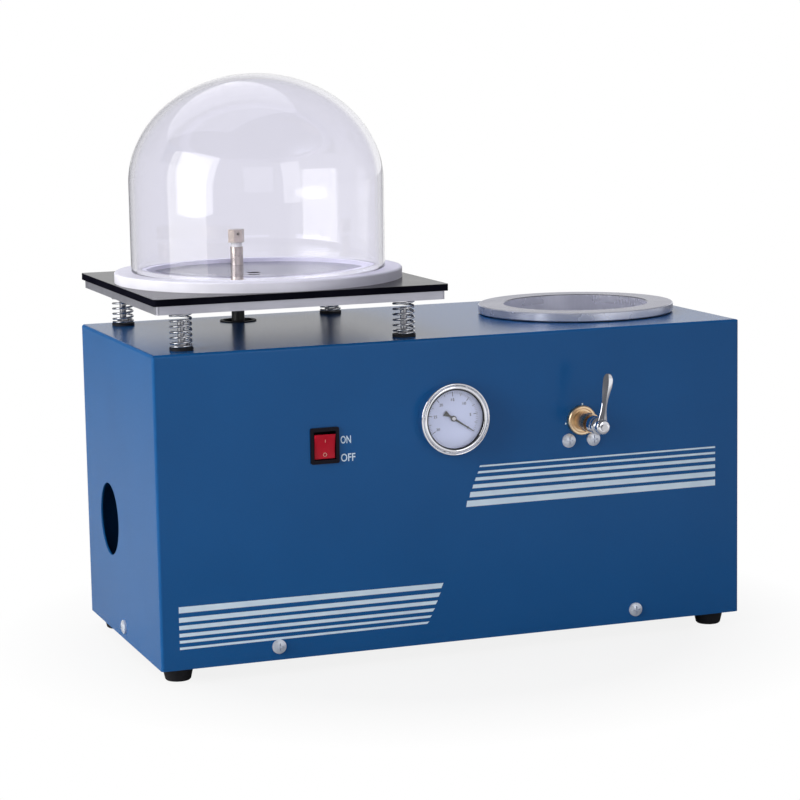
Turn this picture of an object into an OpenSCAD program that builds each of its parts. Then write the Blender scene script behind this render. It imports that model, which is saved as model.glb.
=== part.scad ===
// Bench vacuum machine for jewellery casting: a sheet steel cabinet with a pump inside,
// a sprung investing table under a bell jar on the left and a casting chamber on the right.
// Millimetres. Front face towards -Y, up is +Z. The origin is at bench level, in the middle
// of the whole machine's box. Inside in_cabinet() the zero is the cabinet's front left
// bottom corner, and its y runs back into the machine.

/* [Cabinet] */
// Width of the cabinet
cab_w = 550; // [540:1:640]
// Depth of the cabinet
cab_d = 255; // [250:1:320]
// Height of the cabinet without its feet
cab_h = 272; // [265:1:330]
// Thickness of the cabinet's sheet steel
sheet_t = 1.5; // [1:0.1:2]
// Outer radius of the folded edges
bend_r = 2.5; // [2:0.1:4]
// Width of the flange that the rear panel is screwed to
rear_flange = 14; // [12:1:20]
// Height of the base pan's walls
pan_h = 22; // [20:1:30]
// Gap between sheet parts that slip into each other
sheet_fit = 0.3; // [0.1:0.05:0.5]
// Gap round a bolt or screw in its hole
bolt_fit = 0.2; // [0.1:0.05:0.4]
// Radius of the round vent hole in each side
vent_r = 33; // [25:0.5:40]
// Distance of the vent holes from the front
vent_y = 171; // [160:1:180]
// Height of the vent holes above the cabinet's bottom
vent_z = 103; // [90:1:110]

/* [Feet and screws] */
// Height of a rubber foot
foot_h = 13; // [11:0.5:20]
// Diameter of a foot at the cabinet
foot_top_d = 28; // [24:0.5:32]
// Diameter of a foot at the bench
foot_bottom_d = 22.5; // [20:0.5:24]
// Distance of a foot's centre from the cabinet's side
foot_inset_x = 20; // [18:0.5:30]
// Distance of a foot's centre from the cabinet's front or back
foot_inset_y = 22; // [20:0.5:30]
// Diameter of the screws of the feet
foot_screw_d = 5; // [4:0.5:6]
// Head diameter of the cabinet's pan head screws
pan_head_d = 12.5; // [10:0.5:13]
// Head height of the cabinet's pan head screws
pan_head_h = 3.6; // [3:0.1:4]
// Thread diameter of the cabinet's pan head screws
pan_thread_d = 6; // [5:0.5:6]
// Height of the lower cabinet screws above the cabinet's bottom
low_screw_z = 12; // [10:0.5:13]
// Distance of the lower front screws from the cabinet's sides
low_screw_x = 105; // [80:1:130]

/* [Sprung table] */
// Distance of the table's centre from the cabinet's left side
table_x = 134; // [134:0.5:140]
// Side of the square table mat
mat_size = 264; // [262:1:266]
// Thickness of the table mat
mat_t = 6; // [4:0.5:8]
// Thickness of the metal table plate
plate_t = 7.5; // [6:0.5:10]
// How far the metal plate stays inside the mat's edge
plate_inset = 2.5; // [1:0.5:4]
// Corner radius of the mat and the plate
table_corner_r = 3; // [2:0.5:8]
// Height of the table plate over the cabinet top
spring_gap = 34; // [32:0.5:40]
// How far the table can be pressed down
table_travel = 5; // [3:0.5:6]
// Outer diameter of the sealing pad
seal_d = 258; // [250:1:260]
// Inner diameter of the sealing pad
seal_bore_d = 206; // [200:1:208]
// Thickness of the sealing pad
seal_t = 9; // [7:0.5:11]
// Thickness of the polished floor inside the pad
floor_t = 5.5; // [4:0.5:6]
// Head diameter of the screw in the floor
floor_screw_d = 12; // [8:0.5:14]
// Distance of the floor's screw to the left of the table's centre
floor_screw_side = 4.5; // [0:0.5:8]
// Distance between neighbouring springs
spring_pitch = 202; // [196:1:210]
// Outer diameter of a spring
spring_d = 20; // [19:0.5:24]
// Diameter of the spring wire
wire_d = 2; // [1.5:0.1:2.4]
// Working turns of a spring
spring_turns = 6.5; // [5.5:0.5:7.5]
// Diameter of the guide bolts inside the springs
guide_d = 6; // [5:0.5:8]
// Thickness of the washer under each spring
spring_washer_t = 2.5; // [2:0.5:4]

/* [Bell jar and standpipe] */
// Outer diameter of the bell jar
jar_d = 227.5; // [220:0.5:236]
// Wall of the bell jar
jar_t = 5; // [4:0.5:7]
// Height of the bell jar's straight part
jar_straight_h = 78; // [60:1:140]
// Height of the bell jar's domed part
jar_dome_h = 96; // [70:1:110]
// How high the bell jar can be lifted off
jar_lift = 220; // [200:5:300]
// Distance of the standpipe behind the table's centre
pipe_back = 84; // [70:1:88]
// Distance of the standpipe to the right of the table's centre
pipe_side = 4.5; // [-8:0.5:8]
// Outer diameter of the standpipe
pipe_d = 12; // [11:0.5:14]
// Height of the standpipe's tube above the floor
pipe_h = 16.5; // [12:0.5:30]
// Height of the white thread tape between tube and head
tape_h = 4; // [3:0.5:5]
// Width across the flats of the standpipe's head
pipe_head_af = 13.5; // [13:0.5:16]
// Height of the standpipe's head
pipe_head_h = 12; // [10:0.5:16]

/* [Casting chamber] */
// Distance of the chamber's centre from the cabinet's right side
cast_from_right = 105.5; // [105:0.5:115]
// Outer diameter of the chamber's flange ring
ring_d = 183; // [178:1:190]
// Thickness of the flange ring
ring_t = 8; // [6:0.5:10]
// Thickness of the gasket under the flange ring
ring_gasket_t = 1; // [0.5:0.1:2]
// Inner diameter of the chamber, which the flask goes into
cast_bore_d = 135; // [125:1:138]
// Wall of the chamber's cup
cup_t = 3; // [2:0.5:4]
// Depth of the chamber below the cabinet top
cup_depth = 165; // [140:1:175]
// Thickness of the nut ring that clamps the cup from below
clamp_t = 8; // [6:1:12]

/* [Gauge] */
// Distance of the gauge's centre from the cabinet's left side
gauge_x = 268; // [260:1:275]
// Height of the gauge's centre above the cabinet's bottom
gauge_z = 201; // [190:1:210]
// Outer diameter of the gauge's bezel
bezel_d = 64; // [62:0.5:68]
// How far the bezel stands out of the front
bezel_h = 12; // [11:0.5:14]
// Visible diameter of the gauge's dial
dial_open_d = 53; // [50:0.5:54]
// Depth of the gauge's case behind the front
gauge_depth = 28; // [26:1:34]
// Resting angle of the pointer, from straight right
pointer_rest = -33; // [-45:1:-20]
// Sweep of the pointer over the dial
pointer_sweep = 246; // [200:1:250]

/* [Valve] */
// Distance of the valve's centre from the cabinet's left side
valve_x = 392; // [385:1:400]
// Height of the valve's centre above the cabinet's bottom
valve_z = 190.5; // [185:0.5:200]
// Outer diameter of the brass collar on the front
collar_d = 26.5; // [24:0.5:28]
// Thickness of the brass collar
collar_t = 5; // [4:0.5:8]
// Diameter of the valve's bonnet
bonnet_d = 17; // [16:0.5:18]
// How far the bonnet stands out of the front
bonnet_reach = 24; // [18:1:30]
// Diameter of the valve's stem
stem_d = 8; // [7:0.5:9]
// Distance of the lever from the cabinet's front
lever_reach = 46; // [40:1:50]
// Thickness of the lever's hub
hub_t = 8; // [7:0.5:10]
// Diameter of the lever's hub
hub_d = 13; // [12.5:0.5:16]
// Diameter of the lever's boss behind its hub
boss_d = 15.5; // [14:0.5:17]
// Length of the lever's boss
boss_len = 14; // [10:0.5:17]
// Lean of the lever's tip to the right
lever_lean = 7; // [0:0.5:8]
// Length of the lever from the stem's axis to its tip
lever_len = 47; // [42:1:55]
// Turn of the lever to each side of upright
lever_turn = 90; // [60:5:90]

/* [Switch] */
// Distance of the switch's centre from the cabinet's left side
switch_x = 150.5; // [140:1:160]
// Height of the switch's centre above the cabinet's bottom
switch_z = 185; // [175:1:195]
// Width of the switch's bezel
switch_w = 26; // [25:0.5:28]
// Height of the switch's bezel
switch_h = 31.5; // [31:0.5:34]
// Thickness of the switch's bezel
switch_lip = 2; // [1.5:0.1:2.5]
// Width of the rocker
rocker_w = 19; // [16:0.5:19]
// Height of the rocker
rocker_h = 22; // [21:0.2:23.4]
// Turn of the rocker between off and on
rocker_turn = 14; // [10:1:16]

/* [Pump] */
// Distance of the pump's left end from the cabinet's left side
pump_x = 30; // [28:1:36]
// Distance of the pump's axis from the cabinet's front
pump_y = 128; // [122:1:134]
// Radius of the motor's housing
motor_r = 60; // [56:1:62]
// Length of the motor's housing
motor_len = 150; // [140:1:154]
// Wall of the motor's housing and of the oil case
cast_wall = 4; // [3:0.5:5]
// Diameter of the motor's shaft
shaft_d = 14; // [12:0.5:16]
// Running gap round the shaft
shaft_fit = 0.05; // [0.03:0.01:0.08]
// Length of the oil case
oil_len = 88; // [84:1:96]
// Outer radius of the cooling fan
fan_r = 49; // [40:1:50]
// Radius of the oil case's sight glass
sight_r = 12; // [9:0.5:14]
// Height of the rubber mounts under the pump
mount_h = 15; // [12:1:18]
// Thickness of the pump's foot plate
pump_plate_t = 5; // [4:0.5:6]

/* [Hoses and rear] */
// Outer diameter of the vacuum hoses
hose_d = 12; // [11:0.5:13]
// Bore of the vacuum hoses
hose_bore = 8; // [7:0.5:8.5]
// Diameter of the hole that the table's hose passes through
hose_hole_d = 32; // [30:1:40]
// Height of the lower end of the table's hose above the cabinet's bottom
hose_low_z = 206; // [200:1:212]
// Distance of the mains inlet from the cabinet's right side
inlet_from_right = 90; // [60:1:140]
// Height of the mains inlet above the cabinet's bottom
inlet_z = 45; // [40:1:60]
// Width of the mains inlet's flange
inlet_w = 40; // [36:1:44]
// Height of the mains inlet's flange
inlet_h = 28; // [26:1:32]
// Distance of the exhaust from the cabinet's left side
exhaust_x = 84; // [80:1:90]
// Height of the exhaust above the cabinet's bottom
exhaust_z = 190; // [180:1:200]
// How far the exhaust silencer stands out of the back
silencer_reach = 24; // [20:1:40]

/* [Hidden] */
$fn = 48;
fine = 96;        // sides of the large round parts
coarse = 24;      // sides of the small round parts
eps = 1;          // how far a cut runs past a face
thread_fit = 0.1; // gap round a thread in its tapped hole
seat = 0.05;      // gap between parts that are pressed against each other's round faces
soft_gap = 0.3;   // gap between a moving part and what it passes

// Where things are, from the cabinet's front left bottom corner
hub_front = lever_reach + hub_t/2;
lever_screw_h = 2;
front_reach = hub_front + lever_screw_h;
cab_front_y = (front_reach - silencer_reach - cab_d)/2;
table_y = cab_d/2;
plate_z = cab_h + spring_gap;
mat_z = plate_z + plate_t;
seal_z = mat_z + mat_t;
floor_z = seal_z + floor_t;
jar_z = seal_z + seal_t;
pipe_x = table_x + pipe_side;
pipe_y = table_y + pipe_back;
screw_x = table_x - floor_screw_side;
cast_x = cab_w - cast_from_right;
cast_y = cab_d/2;
ring_z = cab_h + ring_gasket_t;
inlet_x = cab_w - inlet_from_right;

// Sheet parts
pan_w = cab_w - 2*(sheet_t + sheet_fit);
pan_d = cab_d - 3*sheet_t - 2*sheet_fit;
pan_x = sheet_t + sheet_fit;
panel_w = cab_w - 2*(sheet_t + sheet_fit);
panel_h = cab_h - sheet_t - sheet_fit;
panel_y = cab_d - sheet_t;
feet_at = [for (x = [foot_inset_x, cab_w - foot_inset_x], y = [foot_inset_y, cab_d - foot_inset_y]) [x, y]];
springs_at = [for (x = [-1, 1], y = [-1, 1]) [table_x + x*spring_pitch/2, table_y + y*spring_pitch/2]];
rear_screw_in = sheet_t + rear_flange/2;
rear_screws_at = concat([for (x = [rear_screw_in, cab_w - rear_screw_in], k = [0.3, 0.8]) [x, k*cab_h]],
    [for (k = [0.25, 0.75]) [k*cab_w, cab_h - rear_screw_in]]);
rear_screw_d = 4;
rear_head_d = 8;
rear_head_h = 2.4;
rear_screw_len = 8;
cab_screw_len = 10;
louvre = [120, 4];
louvre_pitch = 11;
louvre_rows = 10;
louvre_z = 70;
pan_slot = [5, 80];
pan_slot_pitch = 15;
inlet_hole = [28, 20];
inlet_t = 3;
inlet_core = [inlet_hole[0] - 2*sheet_fit, 26, inlet_hole[1] - 2*sheet_fit];
inlet_socket = [24, 16, 16];

// Feet: the screw's head sits in a recess from below
foot_recess = 6;
foot_recess_d = 12;
foot_washer = [10, 3];

// Springs: the wire's centre line, from the washer to the table plate
spring_foot_z = cab_h + spring_washer_t;
spring_r = (spring_d - wire_d)/2;
spring_h = plate_z - spring_foot_z;
spring_steps = 8;
spring_rise = spring_h - 2*wire_d;
spring_path = concat([[spring_r, 0, 0]],
    [for (i = [0:spring_turns*spring_steps])
        [spring_r*cos(i*360/spring_steps), spring_r*sin(i*360/spring_steps),
         wire_d + spring_rise*i/(spring_turns*spring_steps)]],
    [[spring_r*cos(spring_turns*360), spring_r*sin(spring_turns*360), spring_h]]);
wire_gap = min([for (i = [0:len(spring_path)-1], j = [0:len(spring_path)-1]) if (j - i > spring_steps/2)
    norm(spring_path[j] - spring_path[i])]) - wire_d;
echo(least_gap_between_spring_turns_mm = wire_gap);

// Gauge, along the way back from the front face
case_r = (bezel_d - 5)/2;
rim_r = bezel_d/2 - 1;
case_wall = 1.5;
bezel_lip = 2;
lens_t = 2;
rim_reach = bezel_h - bezel_lip - lens_t - seat;
dial_y = -3.5;
dial_t = 1;
pointer_y = -5.8;
pointer_t = 0.8;
pointer_len = dial_open_d/2 - 4;
spindle_d = 2;
gauge_stem_d = 12;
gauge_stem_len = 16;
clamp_bar = [74, 2, 20];

// Valve
valve_body_d = 30;
valve_body_len = 34;
valve_plate = [48, 2, 42];
valve_back = sheet_t + valve_plate[1];
plug_d = 16;
plug_len = 24;
plug_y = valve_back + 5;
valve_mid_y = plug_y + plug_len/2;
port_d = 10;
port_hole_r = 2.2;
barb_d = hose_bore - 1;
barb_len = 16;
valve_screw_gap = 24;
valve_screw_drop = 18;
valve_thread_d = 4;

// Switch
switch_body = [22, 25, 28.4];
pivot_y = 6;
pivot_d = 3;
rocker_front = 8;
rocker_back = 5;
rocker_open = [rocker_w + 1, rocker_h + 2.8];
blade = [0.8, 8, 6.3];

// Pump, along its axis from its left end
pump_foot_z = sheet_t + mount_h;
pump_lift = 2;
pump_z = pump_foot_z + pump_plate_t + motor_r + pump_lift;
motor_x = oil_len;
fan_gap = 6;
fan_len = 16;
fan_hub_r = shaft_d/2 + 8;
bearing_w = 11;
bearing_r = 17.5;
pump_head_r = 42;
pump_bore_r = 27;
pump_rotor_r = 22.5;
pump_offset = 4;
pump_head_x = 30;
pump_w = 2*motor_r - 4;
oil_top = motor_r - 4;
oil_size = [oil_len, pump_w, oil_top + motor_r + pump_lift];
mount_in = 20;
mount_r = 9;
mount_stud_d = 6;
mount_side = pump_w/2 - mount_r - 3;
mounts_at = [for (x = [motor_x + mount_in, motor_x + motor_len - mount_in], y = [-mount_side, mount_side])
    [pump_x + x, pump_y + y]];
pump_top_z = pump_z + oil_top;
port_neck = [18, 12];
filler = [26, 14];
saddle = [10, motor_r, 26];
saddle_in = 24;
core_r = motor_r - 28;
core_gap = 1;
winding_in = 32;
winding_end = 10;
winding_wall = 16;
sight_y = vent_y - sight_r;
sight_z = pump_z - 4;
sight_rim = 2;
suction_x = pump_x + oil_len*0.72;
blow_x = pump_x + oil_len*0.3;

// Hoses: each is a list of corners, which route() rounds
elbow_z = hose_low_z - 12;
elbow = [pipe_x, pipe_y, elbow_z];
elbow_block = 16;
valve_mid = [valve_x, valve_mid_y, valve_z];
side_port = valve_body_d/2 + 2;
tee_y = valve_mid_y;
port_block = 18;
cup_floor_z = ring_z - cup_depth - cup_t;
cup_port_z = cup_floor_z - port_block/2;
table_run = [elbow + [elbow_block/2, 0, 0], elbow + [120, 0, 0], [valve_x - 70, tee_y + 20, elbow_z],
    [valve_x - 45, tee_y, valve_z], valve_mid + [-side_port - 1, 0, 0]];
suction_run = [[suction_x, pump_y, pump_top_z + port_neck[1] + 1], [suction_x, pump_y, pump_top_z + 44],
    [suction_x + 60, pump_y - 10, pump_top_z + 54], [valve_x - 60, tee_y + 30, valve_z - 40],
    [valve_x, tee_y, valve_z - 52], valve_mid + [0, 0, -side_port - 1]];
cup_run = [valve_mid + [side_port + 1, 0, 0], valve_mid + [side_port + 34, 0, 0],
    [valve_x + 58, tee_y, 140], [valve_x + 40, tee_y + 6, cup_port_z], [cast_x - 66, cast_y - 60, cup_port_z],
    [cast_x - 66, cast_y, cup_port_z], [cast_x - port_block/2, cast_y, cup_port_z]];
gauge_back_y = gauge_depth + gauge_stem_len;
silencer_r = 8;
silencer_thread_r = 9.3;
silencer_in = 16;
gauge_run = [[gauge_x, gauge_back_y + 1, gauge_z], [gauge_x, gauge_back_y + 26, gauge_z],
    [gauge_x + 50, gauge_back_y + 34, gauge_z + 8], [valve_x, valve_mid_y + 44, valve_z + 6],
    [valve_x, valve_back + valve_body_len + 24, valve_z], [valve_x, valve_back + valve_body_len + 3, valve_z]];
exhaust_run = [[blow_x, pump_y, pump_top_z + port_neck[1] + 1], [blow_x, pump_y, pump_top_z + 46],
    [exhaust_x, pump_y + 50, exhaust_z], [exhaust_x, cab_d - 40, exhaust_z],
    [exhaust_x, cab_d - silencer_in - 1, exhaust_z]];
lead_d = 6;
switch_back = switch_body[1] + blade[1];
motor_box = [46, 34, 26];
motor_box_sink = 2;
motor_box_x = pump_x + motor_x + 78;
inlet_back = 31;
motor_box_z = pump_z + motor_r - motor_box_sink;
lead_gap = 0.5;
motor_end = [motor_box_x + motor_box[0]/2, pump_y - motor_box[1]/2 - lead_gap, motor_box_z + motor_box[2]/2];
inlet_end = [inlet_x - 6, cab_d - inlet_back - lead_gap, inlet_z];
switch_lead = [[switch_x, switch_back + lead_gap, switch_z - 6], [switch_x, switch_back + 17, switch_z - 6],
    [switch_x + 50, switch_back + 22, motor_box_z + 6], motor_end - [0, 46, 0], motor_end];
mains_lead = [[switch_x, switch_back + lead_gap, switch_z + 6], [switch_x, switch_back + 19, switch_z + 6],
    [switch_x - 38, switch_back + 17, switch_z - 15], [switch_x - 44, 36, 40], [switch_x + 180, 36, 40],
    [switch_x + 195, 60, 40], [switch_x + 195, cab_d - 65, 40], inlet_end - [40, 20, 0],
    inlet_end - [0, 14, 0], inlet_end];

// ---- Frames and shared shapes ----

module in_cabinet() translate([-cab_w/2, cab_front_y, foot_h]) children();

// Lays a shape drawn along +Z so that it runs back into the machine from the front face
module facing_front(x, z, y = 0) translate([x, y, z]) rotate([-90, 0, 0]) children();

// Lays a shape drawn along +Z along the cabinet's width
module along_x(p) translate(p) rotate([0, 90, 0]) children();

module ring(r_out, r_in, h) difference() {
    cylinder(r = r_out, h = h);
    translate([0, 0, -eps]) cylinder(r = r_in, h = h + 2*eps);
}

module rounded_rect(w, h, r) {
    translate([r, 0]) square([w - 2*r, h]);
    translate([0, r]) square([w, h - 2*r]);
    for (x = [r, w - r], y = [r, h - r]) translate([x, y]) circle(r, $fn = 32);
}

module rounded_plate(w, d, h, r) linear_extrude(h) translate([-w/2, -d/2]) rounded_rect(w, d, r);

// A box whose edges are folded on the front, the sides and the top
module folded_box(w, d, h, r) intersection() {
    linear_extrude(h) rounded_rect(w, d + 2*r, r);
    translate([0, d, 0]) rotate([90, 0, 0]) linear_extrude(d) translate([0, -2*r]) rounded_rect(w, h + 2*r, r);
    rotate([90, 0, 90]) linear_extrude(w) translate([0, -2*r]) rounded_rect(d + 2*r, h + 2*r, r);
}

module hex_prism(af, h) cylinder(d = af/cos(30), h = h, $fn = 6);

// A domed screw head on z = 0 with its thread running down
module pan_screw(head_d, head_h, thread_d, len) difference() {
    union() {
        intersection() {
            cylinder(d = head_d, h = head_h);
            translate([0, 0, head_h - head_d*0.9]) sphere(r = head_d*0.9, $fn = 64);
        }
        translate([0, 0, -len]) cylinder(d = thread_d, h = len + eps/2, $fn = coarse);
    }
    for (a = [0, 90]) rotate(a) translate([-head_d*0.27, -head_d*0.05, head_h*0.45])
        cube([head_d*0.54, head_d*0.1, head_h]);
}

// ---- Tubes swept along a path ----

function unit(v) = v/norm(v);
function bezier(a, b, c, t) = (1 - t)*(1 - t)*a + 2*t*(1 - t)*b + t*t*c;

// Rounds the corners of a list of points, starting and ending straight
function route(p, r, n = 3) = concat([p[0]],
    [for (i = [1:len(p) - 2])
        let (before = unit(p[i-1] - p[i]), after = unit(p[i+1] - p[i]),
             c = min(r, norm(p[i-1] - p[i])*0.45, norm(p[i+1] - p[i])*0.45))
        for (k = [0:n]) bezier(p[i] + c*before, p[i], p[i] + c*after, k/n)],
    [p[len(p) - 1]]);

function tangent(p, i) = unit(i == 0 ? p[1] - p[0]
    : i == len(p) - 1 ? p[i] - p[i-1]
    : unit(p[i] - p[i-1]) + unit(p[i+1] - p[i]));

function square_to(v, t) = unit(v - (v*t)*t);

// A side vector for each point, carried along without twist
function carried(p, start) = [for (i = 0, n = square_to(start, tangent(p, 0)); i < len(p);
    i = i + 1, n = i < len(p) ? square_to(n, tangent(p, i)) : n) n];

function loops(p, r, sides, start) = let (n = carried(p, start))
    [for (i = [0:len(p) - 1], k = [0:sides - 1])
        let (t = tangent(p, i), m = cross(t, n[i]), a = k*360/sides)
        p[i] + r*(cos(a)*n[i] + sin(a)*m)];

// Triangles between neighbouring loops; flip turns them over for an inner wall
function walls(rows, sides, first, flip) = [for (i = [0:rows - 2], k = [0:sides - 1], half = [0, 1])
    let (a = first + i*sides + k, b = first + i*sides + (k + 1)%sides, c = a + sides, d = b + sides,
         f = half == 0 ? [a, c, b] : [b, c, d])
    flip ? [f[2], f[1], f[0]] : f];

// A rod or wire along a path
module swept_rod(p, r, sides, start) {
    n = len(p);
    polyhedron(loops(p, r, sides, start),
        concat(walls(n, sides, 0, false),
            [for (k = [1:sides - 2]) [0, k, k + 1]],
            [for (k = [1:sides - 2]) [(n-1)*sides, (n-1)*sides + k + 1, (n-1)*sides + k]]));
}

// A hose along a path, open at both ends
module swept_hose(p, r, bore, sides, start) {
    n = len(p);
    last = (n - 1)*sides;
    inner = n*sides;
    polyhedron(concat(loops(p, r, sides, start), loops(p, bore, sides, start)),
        concat(walls(n, sides, 0, false), walls(n, sides, inner, true),
            [for (k = [0:sides - 1], half = [0, 1]) let (j = (k + 1)%sides)
                half == 0 ? [k, j, inner + k] : [j, inner + j, inner + k]],
            [for (k = [0:sides - 1], half = [0, 1]) let (j = (k + 1)%sides)
                half == 0 ? [last + k, inner + last + k, last + j]
                    : [last + j, inner + last + k, inner + last + j]]));
}

module hose(corners, start = [0, 0, 1])
    swept_hose(route(corners, 26), hose_d/2, hose_bore/2, 8, start);

// ---- Cabinet ----

module cabinet_shell() color("steelblue") in_cabinet() difference() {
    folded_box(cab_w, cab_d, cab_h, bend_r);
    translate([sheet_t, sheet_t, -eps]) cube([cab_w - 2*sheet_t, cab_d - 3*sheet_t, cab_h - sheet_t + eps]);
    translate([sheet_t, panel_y, -eps]) cube([cab_w - 2*sheet_t, cab_d, cab_h - sheet_t + eps]);
    translate([sheet_t + rear_flange, cab_d/2, -eps])
        cube([cab_w - 2*(sheet_t + rear_flange), cab_d, cab_h - sheet_t - rear_flange + eps]);
    // front: gauge, valve, its two screws and the two lower screws
    facing_front(gauge_x, gauge_z, -eps) cylinder(r = case_r + bolt_fit, h = sheet_t + 2*eps);
    facing_front(valve_x, valve_z, -eps) cylinder(d = bonnet_d + 2*bolt_fit, h = sheet_t + 2*eps);
    for (s = [-1, 1]) facing_front(valve_x + s*valve_screw_gap/2, valve_z - valve_screw_drop, -eps)
        cylinder(d = valve_thread_d + 2*bolt_fit, h = sheet_t + 2*eps, $fn = coarse);
    for (x = [low_screw_x, cab_w - low_screw_x]) facing_front(x, low_screw_z, -eps)
        cylinder(d = pan_thread_d + 2*bolt_fit, h = sheet_t + 2*eps, $fn = coarse);
    translate([switch_x - switch_body[0]/2 - sheet_fit, -eps, switch_z - switch_body[2]/2 - sheet_fit])
        cube([switch_body[0] + 2*sheet_fit, sheet_t + 2*eps, switch_body[2] + 2*sheet_fit]);
    // sides: vents and lower screws
    along_x([-eps, vent_y, vent_z]) cylinder(r = vent_r, h = cab_w + 2*eps);
    along_x([-eps, cab_d/2, low_screw_z])
        cylinder(d = pan_thread_d + 2*bolt_fit, h = cab_w + 2*eps, $fn = coarse);
    // top: hose, guide bolts and casting chamber
    translate([pipe_x, pipe_y, cab_h - 2*sheet_t]) cylinder(d = hose_hole_d, h = 3*sheet_t);
    for (p = springs_at) translate([p[0], p[1], cab_h - 2*sheet_t])
        cylinder(d = guide_d + 2*bolt_fit, h = 3*sheet_t, $fn = coarse);
    translate([cast_x, cast_y, cab_h - 2*sheet_t])
        cylinder(d = cast_bore_d + 2*cup_t + 2*bolt_fit, h = 3*sheet_t, $fn = fine);
    // rear flange: screws of the rear panel
    for (p = rear_screws_at) facing_front(p[0], p[1], cab_d - 3*sheet_t)
        cylinder(d = rear_screw_d + 2*bolt_fit, h = 4*sheet_t, $fn = coarse);
}

module base_pan() color("dimgray") in_cabinet() difference() {
    translate([pan_x, pan_x, 0]) cube([pan_w, pan_d, pan_h]);
    translate([pan_x + sheet_t, pan_x + sheet_t, sheet_t]) cube([pan_w - 2*sheet_t, pan_d - 2*sheet_t, pan_h]);
    for (p = feet_at) translate([p[0], p[1], -eps])
        cylinder(d = foot_screw_d + 2*bolt_fit, h = sheet_t + 2*eps, $fn = coarse);
    for (p = mounts_at) translate([p[0], p[1], -eps])
        cylinder(d = mount_stud_d + 2*bolt_fit, h = sheet_t + 2*eps, $fn = coarse);
    for (x = [low_screw_x, cab_w - low_screw_x]) facing_front(x, low_screw_z, 0)
        cylinder(d = pan_thread_d + 2*bolt_fit, h = cab_screw_len, $fn = coarse);
    along_x([-eps, cab_d/2, low_screw_z])
        cylinder(d = pan_thread_d + 2*bolt_fit, h = cab_w + 2*eps, $fn = coarse);
    for (k = [-4:3]) translate([cast_x + k*pan_slot_pitch, cast_y - pan_slot[1]/2, -eps])
        cube([pan_slot[0], pan_slot[1], sheet_t + 2*eps]);
}

module rear_panel() color("steelblue") in_cabinet() difference() {
    translate([pan_x, panel_y, 0]) cube([panel_w, sheet_t, panel_h]);
    for (p = rear_screws_at) facing_front(p[0], p[1], cab_d - 3*sheet_t)
        cylinder(d = rear_screw_d + 2*bolt_fit, h = 4*sheet_t, $fn = coarse);
    translate([inlet_x - inlet_hole[0]/2, cab_d - 2*sheet_t, inlet_z - inlet_hole[1]/2])
        cube([inlet_hole[0], 3*sheet_t, inlet_hole[1]]);
    facing_front(exhaust_x, exhaust_z, cab_d - 2*sheet_t)
        cylinder(r = silencer_thread_r + 2*bolt_fit, h = 3*sheet_t);
    for (k = [0:louvre_rows - 1])
        translate([cab_w/2 - louvre[0]/2, cab_d - 2*sheet_t, louvre_z + k*louvre_pitch])
            cube([louvre[0], 3*sheet_t, louvre[1]]);
}

// Half section of a rubber foot, with the screw's recess from below
module feet() color("black") in_cabinet() for (p = feet_at) translate([p[0], p[1], -foot_h]) rotate_extrude()
    let (s = foot_screw_d/2 + bolt_fit, r = foot_recess_d/2, b = foot_bottom_d/2)
        polygon([[s, foot_recess], [r, foot_recess], [r, 0], [b - 1, 0], [b, 1], [foot_top_d/2, foot_h],
            [s, foot_h]]);

module foot_screws() color("silver") in_cabinet() for (p = feet_at)
    translate([p[0], p[1], foot_recess - foot_h]) {
    translate([0, 0, -foot_washer[1]]) cylinder(d = foot_washer[0], h = foot_washer[1], $fn = coarse);
    cylinder(d = foot_screw_d, h = foot_h + sheet_t, $fn = coarse);
    translate([0, 0, foot_h - foot_recess + sheet_t]) hex_prism(foot_screw_d*1.6, foot_screw_d*0.8);
}

module cabinet_screws() color("silver") in_cabinet() {
    for (x = [low_screw_x, cab_w - low_screw_x]) translate([x, 0, low_screw_z]) rotate([90, 0, 0])
        pan_screw(pan_head_d, pan_head_h, pan_thread_d, cab_screw_len);
    for (s = [-1, 1]) translate([cab_w/2 + s*cab_w/2, cab_d/2, low_screw_z]) rotate([0, s*90, 0])
        pan_screw(pan_head_d, pan_head_h, pan_thread_d, cab_screw_len);
}

module rear_panel_screws() color("silver") in_cabinet() for (p = rear_screws_at)
    translate([p[0], cab_d, p[1]]) rotate([-90, 0, 0])
        pan_screw(rear_head_d, rear_head_h, rear_screw_d, rear_screw_len);

// ---- Sprung table ----

module table_plate() color("silver") in_cabinet() difference() {
    translate([table_x, table_y, plate_z])
        rounded_plate(mat_size - 2*plate_inset, mat_size - 2*plate_inset, plate_t, table_corner_r);
    translate([pipe_x, pipe_y, plate_z - eps]) cylinder(r = pipe_d/2 - 1 + bolt_fit, h = plate_t + 2*eps);
    translate([screw_x, table_y, plate_z + 1]) cylinder(r = 2.5 + thread_fit, h = plate_t, $fn = coarse);
}

module table_mat() color("black") in_cabinet() difference() {
    translate([table_x, table_y, mat_z]) rounded_plate(mat_size, mat_size, mat_t, table_corner_r);
    translate([pipe_x, pipe_y, mat_z - eps]) cylinder(r = pipe_d/2 - 1 + bolt_fit, h = mat_t + 2*eps);
    translate([screw_x, table_y, mat_z - eps]) cylinder(r = 2.5 + bolt_fit, h = mat_t + 2*eps, $fn = coarse);
}

module sealing_pad() color("gainsboro") in_cabinet() translate([table_x, table_y, seal_z])
    rotate_extrude($fn = fine) polygon([[seal_bore_d/2, 0], [seal_d/2, 0], [seal_d/2, seal_t - 1],
        [seal_d/2 - 1, seal_t], [seal_bore_d/2, seal_t]]);

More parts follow.
